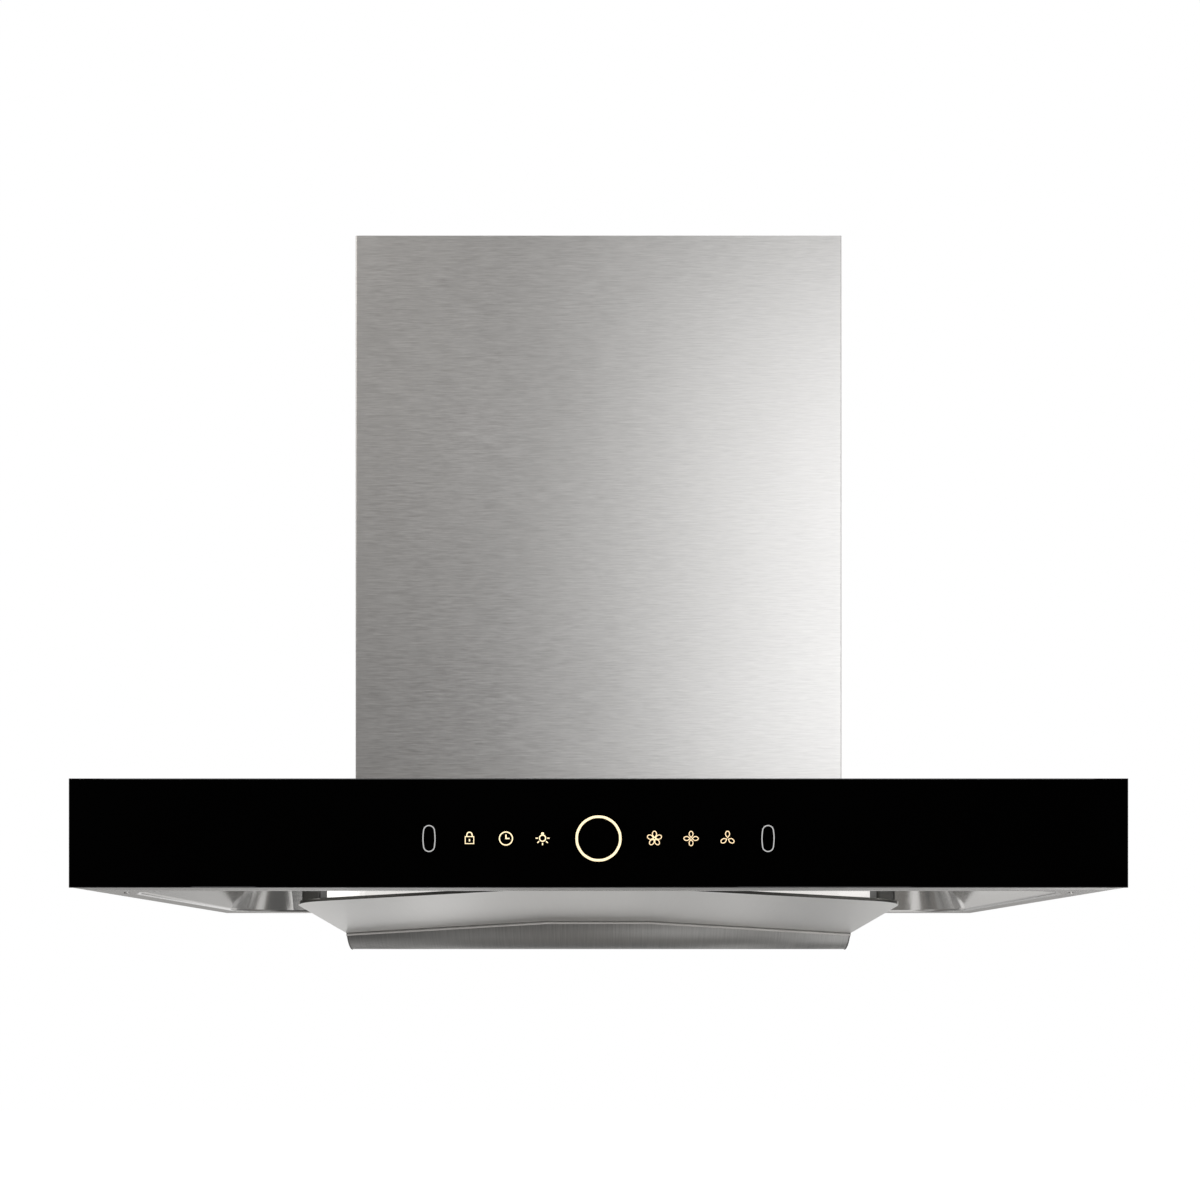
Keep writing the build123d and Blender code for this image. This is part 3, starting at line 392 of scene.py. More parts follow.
@dataclass(frozen=True)
class BrushedSteel(Finish):
    """Sheet steel with strokes in one direction."""

    grain: Grain
    contrast: float
    relief: float
    gloss_change: float = 0.06
    stroke_mm: float = 0.12
    wipe_scale: float = 7.0
    wipe: float = 0.25

    def shade(self, graph: NodeGraph, shader: bpy.types.Node) -> None:
        """Tints, roughens and scores the steel along its grain.

        Args:
            graph: Graph of the material.
            shader: Its principled shader.
        """
        point = graph.object_point()
        strokes = graph.add("ShaderNodeGroup", node_tree=SharedEffects.brushed_grain())
        graph.feed(strokes.inputs["Vector"], point)
        graph.feed(strokes.inputs["Stretch"], self.grain.value)
        streak = strokes.outputs["Streak"]
        dark, light = self.shaded(1.0 - self.contrast), self.shaded(1.0 + self.contrast)
        graph.feed(shader.inputs["Base Color"], graph.tint(streak, dark, light))
        wiped = graph.spread(self.marks(graph, point, self.wipe_scale), 0.0, self.wipe)
        worn = graph.add("ShaderNodeMath", {0: streak, 1: wiped}, operation="ADD").outputs[0]
        low, high = self.roughness - self.gloss_change, self.roughness + self.gloss_change
        graph.feed(shader.inputs["Roughness"], graph.spread(worn, low, high, stop=1.0 + self.wipe))
        graph.feed(shader.inputs["Metallic"], 1.0)
        if self.relief:
            self.bump(graph, shader, strokes.outputs["Height"], self.relief, self.stroke_mm)


@dataclass(frozen=True)
class ZincSheet(Finish):
    """Galvanised sheet with its flat crystal spangle."""

    spangle: float = 110.0
    tones: Point = (0.88, 1.1)
    gloss_change: float = 0.07
    relief: float = 0.08
    relief_mm: float = 0.1

    def shade(self, graph: NodeGraph, shader: bpy.types.Node) -> None:
        """Gives each crystal its own tone and gloss.

        Args:
            graph: Graph of the material.
            shader: Its principled shader.
        """
        inputs = {"Vector": graph.object_point(), "Scale": self.spangle, "Randomness": 1.0}
        crystals = graph.add("ShaderNodeTexVoronoi", inputs)
        tone = graph.add("ShaderNodeSeparateColor", {0: crystals.outputs["Color"]}).outputs[0]
        self.vary(graph, shader, tone, self.tones, self.gloss_change)
        graph.feed(shader.inputs["Metallic"], 1.0)
        self.bump(graph, shader, crystals.outputs["Distance"], self.relief, self.relief_mm)


@dataclass(frozen=True)
class BlackGlass(Finish):
    """Glass printed black on its rear side."""

    wipe_scale: float = 9.0
    wiped_tone: float = 1.3
    wiped_gloss: float = 0.02
    refraction: float = 1.5
    shine: float = 0.4

    def shade(self, graph: NodeGraph, shader: bpy.types.Node) -> None:
        """Keeps the glass near black with a faint trace of wiping in its gloss.

        Args:
            graph: Graph of the material.
            shader: Its principled shader.
        """
        wiped = self.marks(graph, graph.object_point(), self.wipe_scale)
        graph.feed(shader.inputs["Base Color"], graph.tint(wiped, self.colour, self.shaded(self.wiped_tone)))
        rough = graph.spread(wiped, self.roughness, self.roughness + self.wiped_gloss)
        graph.feed(shader.inputs["Roughness"], rough)
        graph.feed(shader.inputs["IOR"], self.refraction)
        graph.feed(shader.inputs["Specular IOR Level"], self.shine)


@dataclass(frozen=True)
class Moulded(Finish):
    """Moulded plastic or rubber with a fine spark texture."""

    pits: float = 1400.0
    relief: float = 0.2
    relief_mm: float = 0.08
    tones: Point = (0.85, 1.15)
    gloss_change: float = 0.05

    def shade(self, graph: NodeGraph, shader: bpy.types.Node) -> None:
        """Adds the moulded texture and a slow change of tone.

        Args:
            graph: Graph of the material.
            shader: Its principled shader.
        """
        texture = graph.add("ShaderNodeGroup", node_tree=SharedEffects.moulded_texture())
        graph.feed(texture.inputs["Vector"], graph.object_point())
        graph.feed(texture.inputs["Scale"], self.pits)
        self.vary(graph, shader, texture.outputs["Tone"], self.tones, self.gloss_change)
        self.bump(graph, shader, texture.outputs["Height"], self.relief, self.relief_mm)


@dataclass(frozen=True)
class Paint(Moulded):
    """Enamel on metal, with the soft dimples of a sprayed coat."""

    pits: float = 420.0
    relief: float = 0.12
    coat: float = 0.25
    coat_roughness: float = 0.2

    def shade(self, graph: NodeGraph, shader: bpy.types.Node) -> None:
        """Adds a clear gloss over the textured coat.

        Args:
            graph: Graph of the material.
            shader: Its principled shader.
        """
        super().shade(graph, shader)
        graph.feed(shader.inputs["Coat Weight"], self.coat)
        graph.feed(shader.inputs["Coat Roughness"], self.coat_roughness)


@dataclass(frozen=True)
class TurnedSteel(Finish):
    """Machined or plated steel of shafts, nuts and screws."""

    turning: float = 900.0
    tones: Point = (0.9, 1.08)
    gloss_change: float = 0.06

    def shade(self, graph: NodeGraph, shader: bpy.types.Node) -> None:
        """Adds fine turning marks and a change of gloss.

        Args:
            graph: Graph of the material.
            shader: Its principled shader.
        """
        turned = graph.noise(graph.object_point(), self.turning, detail=2.0, roughness=0.5)
        self.vary(graph, shader, turned, self.tones, self.gloss_change)
        graph.feed(shader.inputs["Metallic"], 1.0)


@dataclass(frozen=True)
class Lit(Finish):
    """Surface that gives light: a diffuser, a light guide, a lit sign, or a print with a painted glow."""

    glow: float
    ribs: float = 0.0
    patches: float = 60.0
    tones: Point = (0.8, 0.9)
    dim: float = 0.94
    rib_relief: float = 0.3
    rib_mm: float = 0.3

    def shade(self, graph: NodeGraph, shader: bpy.types.Node) -> None:
        """Lights the surface a little unevenly and adds diffuser ribs where it has them.

        Args:
            graph: Graph of the material.
            shader: Its principled shader.
        """
        point = graph.object_point()
        uneven = graph.noise(point, self.patches, detail=1.0, roughness=0.5)
        dark, light = (self.shaded(share) for share in self.tones)
        graph.feed(shader.inputs["Base Color"], graph.tint(uneven, dark, light))
        graph.feed(shader.inputs["Roughness"], self.roughness)
        graph.feed(shader.inputs["Emission Color"], graph.tint(uneven, self.shaded(self.dim), self.colour))
        graph.feed(shader.inputs["Emission Strength"], self.glow)
        if self.ribs:
            wave = graph.add("ShaderNodeTexWave", {"Vector": point, "Scale": self.ribs}, bands_direction="X")
            self.bump(graph, shader, wave.outputs["Fac"], self.rib_relief, self.rib_mm)


@dataclass(frozen=True)
class CircuitBoard(Finish):
    """Solder mask over copper tracks."""

    track_colour: Colour = (0.05, 0.2, 0.08)
    tracks: float = 90.0
    track_gap: float = 0.06
    relief: float = 0.2
    relief_mm: float = 0.05

    def shade(self, graph: NodeGraph, shader: bpy.types.Node) -> None:
        """Lays a pattern of tracks under the mask.

        Args:
            graph: Graph of the material.
            shader: Its principled shader.
        """
        upright = {"Vector": graph.object_point(), "Rotation": (math.pi / 2, 0.0, 0.0)}
        turned = graph.add("ShaderNodeMapping", upright).outputs[0]
        inputs = {"Vector": turned, "Scale": self.tracks, "Mortar Size": self.track_gap}
        pattern = graph.add("ShaderNodeTexBrick", inputs).outputs["Fac"]
        graph.feed(shader.inputs["Base Color"], graph.tint(pattern, self.colour, self.track_colour))
        graph.feed(shader.inputs["Roughness"], self.roughness)
        self.bump(graph, shader, pattern, self.relief, self.relief_mm)


class Finishes(Enum):
    """The finishes of the hood, its touch signs and its trim."""

    BOX_STEEL = BrushedSteel("box_brushed_steel", (0.655, 0.653, 0.65), 0.35, Grain.LEVEL, 0.115, 0.06, 0.05)
    CANOPY_STEEL = BrushedSteel("canopy_brushed_steel", (0.66, 0.65, 0.635), 0.38, Grain.SIDEWAYS, 0.08, 0.2)
    FASCIA_STEEL = BrushedSteel("fascia_satin_steel", (0.32, 0.315, 0.305), 0.34, Grain.SIDEWAYS, 0.06, 0.1)
    PAN_STEEL = BrushedSteel("pan_satin_steel", (0.60, 0.59, 0.575), 0.17, Grain.SIDEWAYS, 0.04, 0.0, 0.03)
    PLATE_STEEL = BrushedSteel("plate_satin_steel", (0.86, 0.85, 0.83), 0.34, Grain.LENGTHWAYS, 0.02, 0.0,
                               0.03)
    TRAY_STEEL = BrushedSteel("tray_brushed_steel", (0.445, 0.44, 0.43), 0.40, Grain.LENGTHWAYS, 0.16, 0.3)
    ZINC = ZincSheet("galvanised_sheet", (0.52, 0.53, 0.54), 0.45)
    GLASS = BlackGlass("black_printed_glass", (0.0012, 0.0012, 0.0012), 0.03)
    ARM_PAINT = Paint("dark_arm_paint", (0.022, 0.022, 0.021), 0.36)
    # Near black paint over the plate's steel hem: a painted dark reflection.
    PLATE_EDGE_DARK_REFLECTION = Paint("plate_edge_painted_reflection", (0.03, 0.03, 0.028), 0.5)
    END_SEAM = Paint("tray_end_seam", (0.15, 0.148, 0.144), 0.5)
    # Grey bead in the gap under the plate's rear edge: a painted shadow line, not a seam of the tray.
    LIP_SHADOW_LINE = Paint("lip_painted_shadow", (0.5, 0.494, 0.484), 0.5)
    # Near white paint on the tray's rolled steel lip: a painted highlight.
    TRAY_LIP_HIGHLIGHT = Paint("tray_lip_painted_highlight", (0.95, 0.94, 0.92), 0.4)
    BLACK_PLASTIC = Moulded("black_moulded_plastic", (0.018, 0.018, 0.019), 0.48)
    GREY_PLASTIC = Moulded("grey_moulded_plastic", (0.36, 0.37, 0.38), 0.5)
    LAMP_LENS = Lit("frosted_lamp_lens", (1.0, 0.97, 0.9), 0.35, 6.0, 90.0)
    LIGHT_GUIDE = Lit("lit_ring_guide", (1.0, 0.9, 0.7), 0.4, 0.6)
    BOARD = CircuitBoard("green_circuit_board", (0.008, 0.05, 0.018), 0.35)
    MOTOR_PAINT = Paint("dark_motor_paint", (0.06, 0.062, 0.066), 0.42)
    BRIGHT_STEEL = TurnedSteel("turned_bright_steel", (0.62, 0.61, 0.6), 0.26)
    MAGNET = TurnedSteel("magnet_nickel", (0.32, 0.32, 0.33), 0.3)
    RUBBER = Moulded("soft_black_rubber", (0.012, 0.012, 0.012), 0.7, 900.0, 0.3)
    SIGN_LIGHT = Lit("sign_light", (0.97, 0.80, 0.50), 0.4, 1.0)
    FAN_LIGHT = Lit("fan_sign_light", (0.92, 0.70, 0.42), 0.4, 0.9)
    # The sensor slots' grey print glows a little: a painted glow on a print, not a lamp.
    SLOT_PRINT_GLOW = Lit("slot_print_painted_glow", (0.36, 0.36, 0.36), 0.5, 0.9)


FinishTable = dict[Finishes, tuple[str, ...]]


def to_mesh(shape: bmesh.types.BMesh, name: str) -> bpy.types.Mesh:
    """Turns a bmesh into a mesh.

    Args:
        shape: Bmesh to turn, which is used up.
        name: Name of the mesh.

    Returns:
        The mesh.
    """
    mesh = bpy.data.meshes.new(name)
    shape.to_mesh(mesh)
    shape.free()
    return mesh


class SubAssembly(ABC):
    """A group of nodes with their finishes and the small pieces that belong to them."""

    finishes: ClassVar[FinishTable] = {}
    bead_rounding: ClassVar[int] = 2

    def dress(self) -> None:
        """Gives each node of the group its finish."""
        for finish, nodes in self.finishes.items():
            for name in nodes:
                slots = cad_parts[name].data.materials
                slots.clear()
                slots.append(finish.value.material())

    def build(self) -> Iterable[bpy.types.Object]:
        """Builds the group's own small pieces, none unless a group has some."""
        return ()

    @classmethod
    def bead_curve(cls, name: str, radius: float) -> bpy.types.Curve:
        """Starts a curve whose lines are round beads with closed ends.

        Args:
            name: Name of the curve.
            radius: Radius of the beads.

        Returns:
            The curve, still without lines.
        """
        curve = bpy.data.curves.new(name, "CURVE")
        curve.dimensions = "3D"
        curve.bevel_depth = radius
        curve.bevel_resolution = cls.bead_rounding
        curve.use_fill_caps = True
        return curve

    @staticmethod
    def curve_mesh(curve: bpy.types.Curve) -> bpy.types.Mesh:
        """Turns a curve into a mesh.

        Args:
            curve: Curve to turn, which is used up.

        Returns:
            The mesh.
        """
        holder = bpy.data.objects.new(curve.name, curve)
        mesh = bpy.data.meshes.new_from_object(holder)
        bpy.data.objects.remove(holder)
        bpy.data.curves.remove(curve)
        return mesh

    @staticmethod
    def finish_piece(name: str, mesh: bpy.types.Mesh, finish: Finishes, slot: Slot,
                     body: Body = Body.HOOD) -> bpy.types.Object:
        """Makes a piece of the object from a finished mesh.

        Args:
            name: Name of the piece.
            mesh: Mesh with its place in its vertices.
            finish: Finish of its surface.
            slot: Material slot of the record; not used.
            body: Body that it rides on.

        Returns:
            The piece.
        """
        mesh.name = name
        mesh.materials.clear()
        mesh.materials.append(finish.value.material())
        piece = bpy.data.objects.new(name, mesh)
        bpy.context.scene.collection.objects.link(piece)
        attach(piece, body.value)
        return piece


@dataclass
class Stroke:
    """One line of a touch sign, drawn to the right and up from the sign's middle, in mm."""

    points: Sequence[Point]
    width: float
    closed: bool = False
    straight: bool = False
    sharp_start: bool = False
    steps: int = 10

    def draw(self, curve: bpy.types.Curve) -> None:
        """Adds the line to a curve.

        Args:
            curve: Curve of strokes that have the same width.
        """
        spline = curve.splines.new("BEZIER")
        spline.bezier_points.add(len(self.points) - 1)
        spline.use_cyclic_u = self.closed
        spline.resolution_u = self.steps
        for index, (knot, (right, up)) in enumerate(zip(spline.bezier_points, self.points)):
            kind = "VECTOR" if self.straight or (self.sharp_start and index == 0) else "AUTO"
            knot.co = (right, up, 0.0)
            knot.handle_left_type = kind
            knot.handle_right_type = kind


@dataclass
class Sign:
    """A touch sign: a few strokes at one place on the glass."""

    name: str
    right_mm: float
    strokes: list[Stroke]
    finish: Finishes
    slot: Slot = Slot.LIT


@dataclass
class TouchSigns:
    """Draws the strokes of the touch signs."""

    line: float = 0.95
    fine: float = 0.75
    bold: float = 1.1
    cap_width: float = 1.5
    stem_width: float = 1.6
    ring_width: float = 2.1
    circle_points: int = 12

    def circle(self, radius: float, width: float | None = None, up: float = 0.0) -> Stroke:
        """Draws a circle.

        Args:
            radius: Middle of the line.
            width: Width of the line, or the usual one.
            up: Height of its middle.

        Returns:
            The stroke.
        """
        turn = [2 * math.pi * step / self.circle_points for step in range(self.circle_points)]
        points = [(radius * math.cos(angle), up + radius * math.sin(angle)) for angle in turn]
        return Stroke(points, width or self.line, closed=True)

    def bar(self, start: Point, stop: Point, width: float | None = None) -> Stroke:
        """Draws a straight line between two points."""
        return Stroke([start, stop], width or self.line, straight=True)

    def ray(self, degrees: float, start: float, stop: float, up: float = 0.0,
            width: float | None = None) -> Stroke:
        """Draws a straight line away from the middle.

        Args:
            degrees: Direction, counted from the right.
            start: Distance of its inner end.
            stop: Distance of its outer end.
            up: Height of the middle.
            width: Width of the line, or the usual one.

        Returns:
            The stroke.
        """
        right, rise = math.cos(math.radians(degrees)), math.sin(math.radians(degrees))
        return self.bar((start * right, up + start * rise), (stop * right, up + stop * rise), width)

    def petal(self, degrees: float, length: float, breadth: float) -> Stroke:
        """Draws the loop of one fan blade.

        Args:
            degrees: Direction, counted from the right.
            length: Reach of the loop.
            breadth: Widest part of the loop.

        Returns:
            The stroke.
        """
        loop = ((0.12, 0.0), (0.62, 0.5), (1.0, 0.0), (0.62, -0.5))
        turn = Matrix.Rotation(math.radians(degrees), 2)
        points = [turn @ Vector((along * length, across * breadth)) for along, across in loop]
        return Stroke([tuple(point) for point in points], self.fine, closed=True, sharp_start=True)

    def fan(self, blades: int, length: float, breadth: float) -> list[Stroke]:
        """Draws a fan sign.

        Args:
            blades: Number of loops, the first one upright.
            length: Reach of a loop.
            breadth: Widest part of a loop.

        Returns:
            Its strokes.
        """
        return [self.petal(90.0 + 360.0 * blade / blades, length, breadth) for blade in range(blades)]

    def lock(self) -> list[Stroke]:
        """Draws a closed padlock.

        Returns:
            Its strokes.
        """
        half, low, top = 3.6, -4.3, 1.6
        corners = [(-half, low), (half, low), (half, top), (-half, top)]
        body = Stroke(corners, self.line, closed=True, straight=True)
        arch = [(-2.2, top), (-2.2, 3.2), (-1.55, 4.7), (0.0, 5.3), (1.55, 4.7), (2.2, 3.2), (2.2, top)]
        return [body, Stroke(arch, self.line), self.bar((0.0, -0.4), (0.0, -2.4), self.bold)]

    def clock(self) -> list[Stroke]:
        """Draws a clock face with two hands.

        Returns:
            Its strokes.
        """
        minutes = self.bar((0.0, 3.4), (0.0, -0.4), self.bold)
        hours = self.bar((-0.4, 0.0), (3.0, 0.0), self.bold)
        return [self.circle(5.5), minutes, hours]

    def lamp(self) -> list[Stroke]:
        """Draws a lamp with its cap and five rays.

        Returns:
            Its strokes.
        """
        middle = 0.3
        rays = [self.ray(angle, 3.9, 5.9, middle) for angle in (0.0, 180.0, 222.0, 270.0, 318.0)]
        cap = self.bar((-1.1, 4.2), (1.1, 4.2), self.cap_width)
        stem = self.bar((0.0, 5.2), (0.0, 3.4), self.stem_width)
        return [self.circle(2.6, up=middle), cap, stem, *rays]

    def slot(self) -> list[Stroke]:
        """Draws the outline of a gesture sensor.

        Returns:
            Its stroke.
        """
        half, straight, steps = 4.65, 6.3, 6
        arc = [math.pi * step / steps for step in range(steps + 1)]
        top = [(half * math.cos(angle), straight + half * math.sin(angle)) for angle in arc]
        return [Stroke(top + [(-x, -y) for x, y in top], self.line, closed=True)]

    def signs(self) -> list[Sign]:
        """Lists the signs from left to right.

        Returns:
            The signs.
        """
        near, middle, far, edge = 47.4, 78.4, 109.3, 143.6
        star = [self.ray(126.0 + 72.0 * arm, 0.6, 3.1, width=self.fine) for arm in range(5)]
        return [
            Sign("sensor_slot_left", -edge, self.slot(), Finishes.SLOT_PRINT_GLOW, Slot.PRINT),
            Sign("lock_sign", -far, self.lock(), Finishes.SIGN_LIGHT),
            Sign("clock_sign", -middle, self.clock(), Finishes.SIGN_LIGHT),
            Sign("lamp_sign", -near, self.lamp(), Finishes.SIGN_LIGHT),
            Sign("power_ring", 0.0, [self.circle(18.45, self.ring_width)], Finishes.SIGN_LIGHT),
            Sign("high_speed_sign", near, self.fan(5, 6.2, 3.6) + star, Finishes.FAN_LIGHT),
            Sign("middle_speed_sign", middle, self.fan(4, 6.1, 3.3), Finishes.FAN_LIGHT),
            Sign("low_speed_sign", far, self.fan(3, 6.2, 3.5), Finishes.FAN_LIGHT),
            Sign("sensor_slot_right", edge, self.slot(), Finishes.SLOT_PRINT_GLOW, Slot.PRINT),
        ]


@dataclass
class GlassFront(SubAssembly):
    """Black glass with its lit touch signs, the fascia frame and the touch board."""

    signs: TouchSigns = field(default_factory=TouchSigns)
    sign_rise_mm: float = 41.5
    sign_flatness: float = 0.2

    finishes: ClassVar[FinishTable] = {
        Finishes.GLASS: ("glass_panel",),
        Finishes.FASCIA_STEEL: ("fascia_frame",),
        Finishes.BOARD: ("touch_board",),
        Finishes.LIGHT_GUIDE: ("ring_light_guide",),
        Finishes.BLACK_PLASTIC: ("gesture_sensors",),
    }

    def sign_mesh(self, sign: Sign) -> bpy.types.Mesh:
        """Makes the flat mesh of a sign on the front of the glass.

        Args:
            sign: Sign to make.

        Returns:
            The mesh, in its place.
        """
        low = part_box("glass_panel")[0]
        joined = bmesh.new()
        for width in sorted({stroke.width for stroke in sign.strokes}):
            curve = self.bead_curve(sign.name, width / 2)
            for stroke in (each for each in sign.strokes if each.width == width):
                stroke.draw(curve)
            lines = self.curve_mesh(curve)
            joined.from_mesh(lines)
            bpy.data.meshes.remove(lines)
        upright = Matrix.Rotation(math.pi / 2, 4, "X")
        flat = Matrix.Diagonal((MM, MM * self.sign_flatness, MM, 1.0))
        place = Matrix.Translation((sign.right_mm * MM, low.y, low.z + self.sign_rise_mm * MM))
        bmesh.ops.transform(joined, matrix=place @ flat @ upright, verts=joined.verts)
        bmesh.ops.recalc_face_normals(joined, faces=joined.faces)
        return to_mesh(joined, sign.name)

    def build(self) -> Iterable[bpy.types.Object]:
        """Builds the signs one by one."""
        for sign in self.signs.signs():
            yield self.finish_piece(sign.name, self.sign_mesh(sign), sign.finish, sign.slot)


@dataclass
class ScrewHeads:
    """Pan head screws with a cross recess, shown by their heads."""

    radius_mm: float = 3.2
    height_mm: float = 1.5
    recess_mm: float = 0.9
    segments: int = 24
    crown_share: float = 0.45
    crown_steps: int = 3
    recess_share: float = 0.3
    cross_waist: float = 0.3
    cross_reach: float = 0.9
    cross_sharpness: int = 3
    recess_taper: float = 0.6

    def one(self) -> bmesh.types.BMesh:
        """Makes one head that stands on its origin and looks along +Z, in metres.

        Returns:
            The mesh of the head.
        """
        head = bmesh.new()
        bmesh.ops.create_circle(head, cap_ends=True, segments=self.segments, radius=self.radius_mm * MM)
        base = head.faces[:]
        rim = bmesh.ops.extrude_face_region(head, geom=base)
        crown = [item for item in rim["geom"] if isinstance(item, bmesh.types.BMVert)]
        bmesh.ops.translate(head, verts=crown, vec=(0.0, 0.0, self.height_mm * MM))
        top = max(head.faces, key=lambda face: face.calc_center_median().z)
        bmesh.ops.bevel(head, geom=top.edges[:], offset=self.crown_share * self.height_mm * MM,
                        affect="EDGES", segments=self.crown_steps, profile=0.5, material=-1)
        top = max(head.faces, key=lambda face: (face.calc_center_median().z, face.calc_area()))
        bmesh.ops.inset_individual(head, faces=[top], thickness=self.recess_share * self.radius_mm * MM)
        for vert in top.verts:
            share = abs(math.cos(2 * math.atan2(vert.co.y, vert.co.x)))
            vert.co.xy *= self.cross_waist + self.cross_reach * share ** self.cross_sharpness
        sunk = bmesh.ops.extrude_discrete_faces(head, faces=[top])["faces"][0]
        bmesh.ops.translate(head, verts=sunk.verts[:], vec=(0.0, 0.0, -self.recess_mm * MM))
        bmesh.ops.scale(head, verts=sunk.verts[:], vec=(self.recess_taper, self.recess_taper, 1.0))
        bmesh.ops.recalc_face_normals(head, faces=head.faces)
        return head

    def mesh(self, seats: Sequence[tuple[Vector, Vector]]) -> bpy.types.Mesh:
        """Places a head on each seat.

        Args:
            seats: Place and outward direction of each head.

        Returns:
            One mesh with all the heads.
        """
        joined = bmesh.new()
        for place, outward in seats:
            head = self.one()
            turn = Vector((0.0, 0.0, 1.0)).rotation_difference(outward).to_matrix().to_4x4()
            bmesh.ops.transform(head, matrix=Matrix.Translation(place) @ turn, verts=head.verts)
            single = to_mesh(head, "screw_head")
            joined.from_mesh(single)
            bpy.data.meshes.remove(single)
        return to_mesh(joined, "screw_heads")


@dataclass
class Canopy(SubAssembly):
    """Canopy shell, drawn pan, lamps, grille and lift drives."""

    rim_screw_inset_mm: float = 21.0
    rim_screw_setback_mm: float = 80.0

    finishes: ClassVar[FinishTable] = {
        Finishes.CANOPY_STEEL: ("canopy_shell",),
        Finishes.PAN_STEEL: ("inner_pan", "intake_grille"),
        Finishes.ZINC: ("intake_throat",),
        Finishes.BRIGHT_STEEL: ("grille_screws",),
        Finishes.LAMP_LENS: ("lamp_lens_left", "lamp_lens_right"),
        Finishes.GREY_PLASTIC: ("lamp_housing_left", "lamp_housing_right"),
        Finishes.BLACK_PLASTIC: ("lift_guide_left", "lift_guide_right"),
        Finishes.MOTOR_PAINT: ("lift_motor_left", "lift_motor_right"),
    }

    def build(self) -> Iterable[bpy.types.Object]:
        """Builds the screw at each front corner of the rim.

        Yields:
            The two screws as one piece.
        """
        low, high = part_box("inner_pan")
        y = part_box("glass_panel")[0].y + self.rim_screw_setback_mm * MM
        inset = self.rim_screw_inset_mm * MM
        down = Vector((0.0, 0.0, -1.0))
        seats = [(Vector((x, y, low.z)), down) for x in (low.x + inset, high.x - inset)]
        heads = ScrewHeads(radius_mm=2.4, height_mm=0.9, recess_mm=0.6).mesh(seats)
        yield self.finish_piece("rim_screws", heads, Finishes.BRIGHT_STEEL, Slot.SCREW)


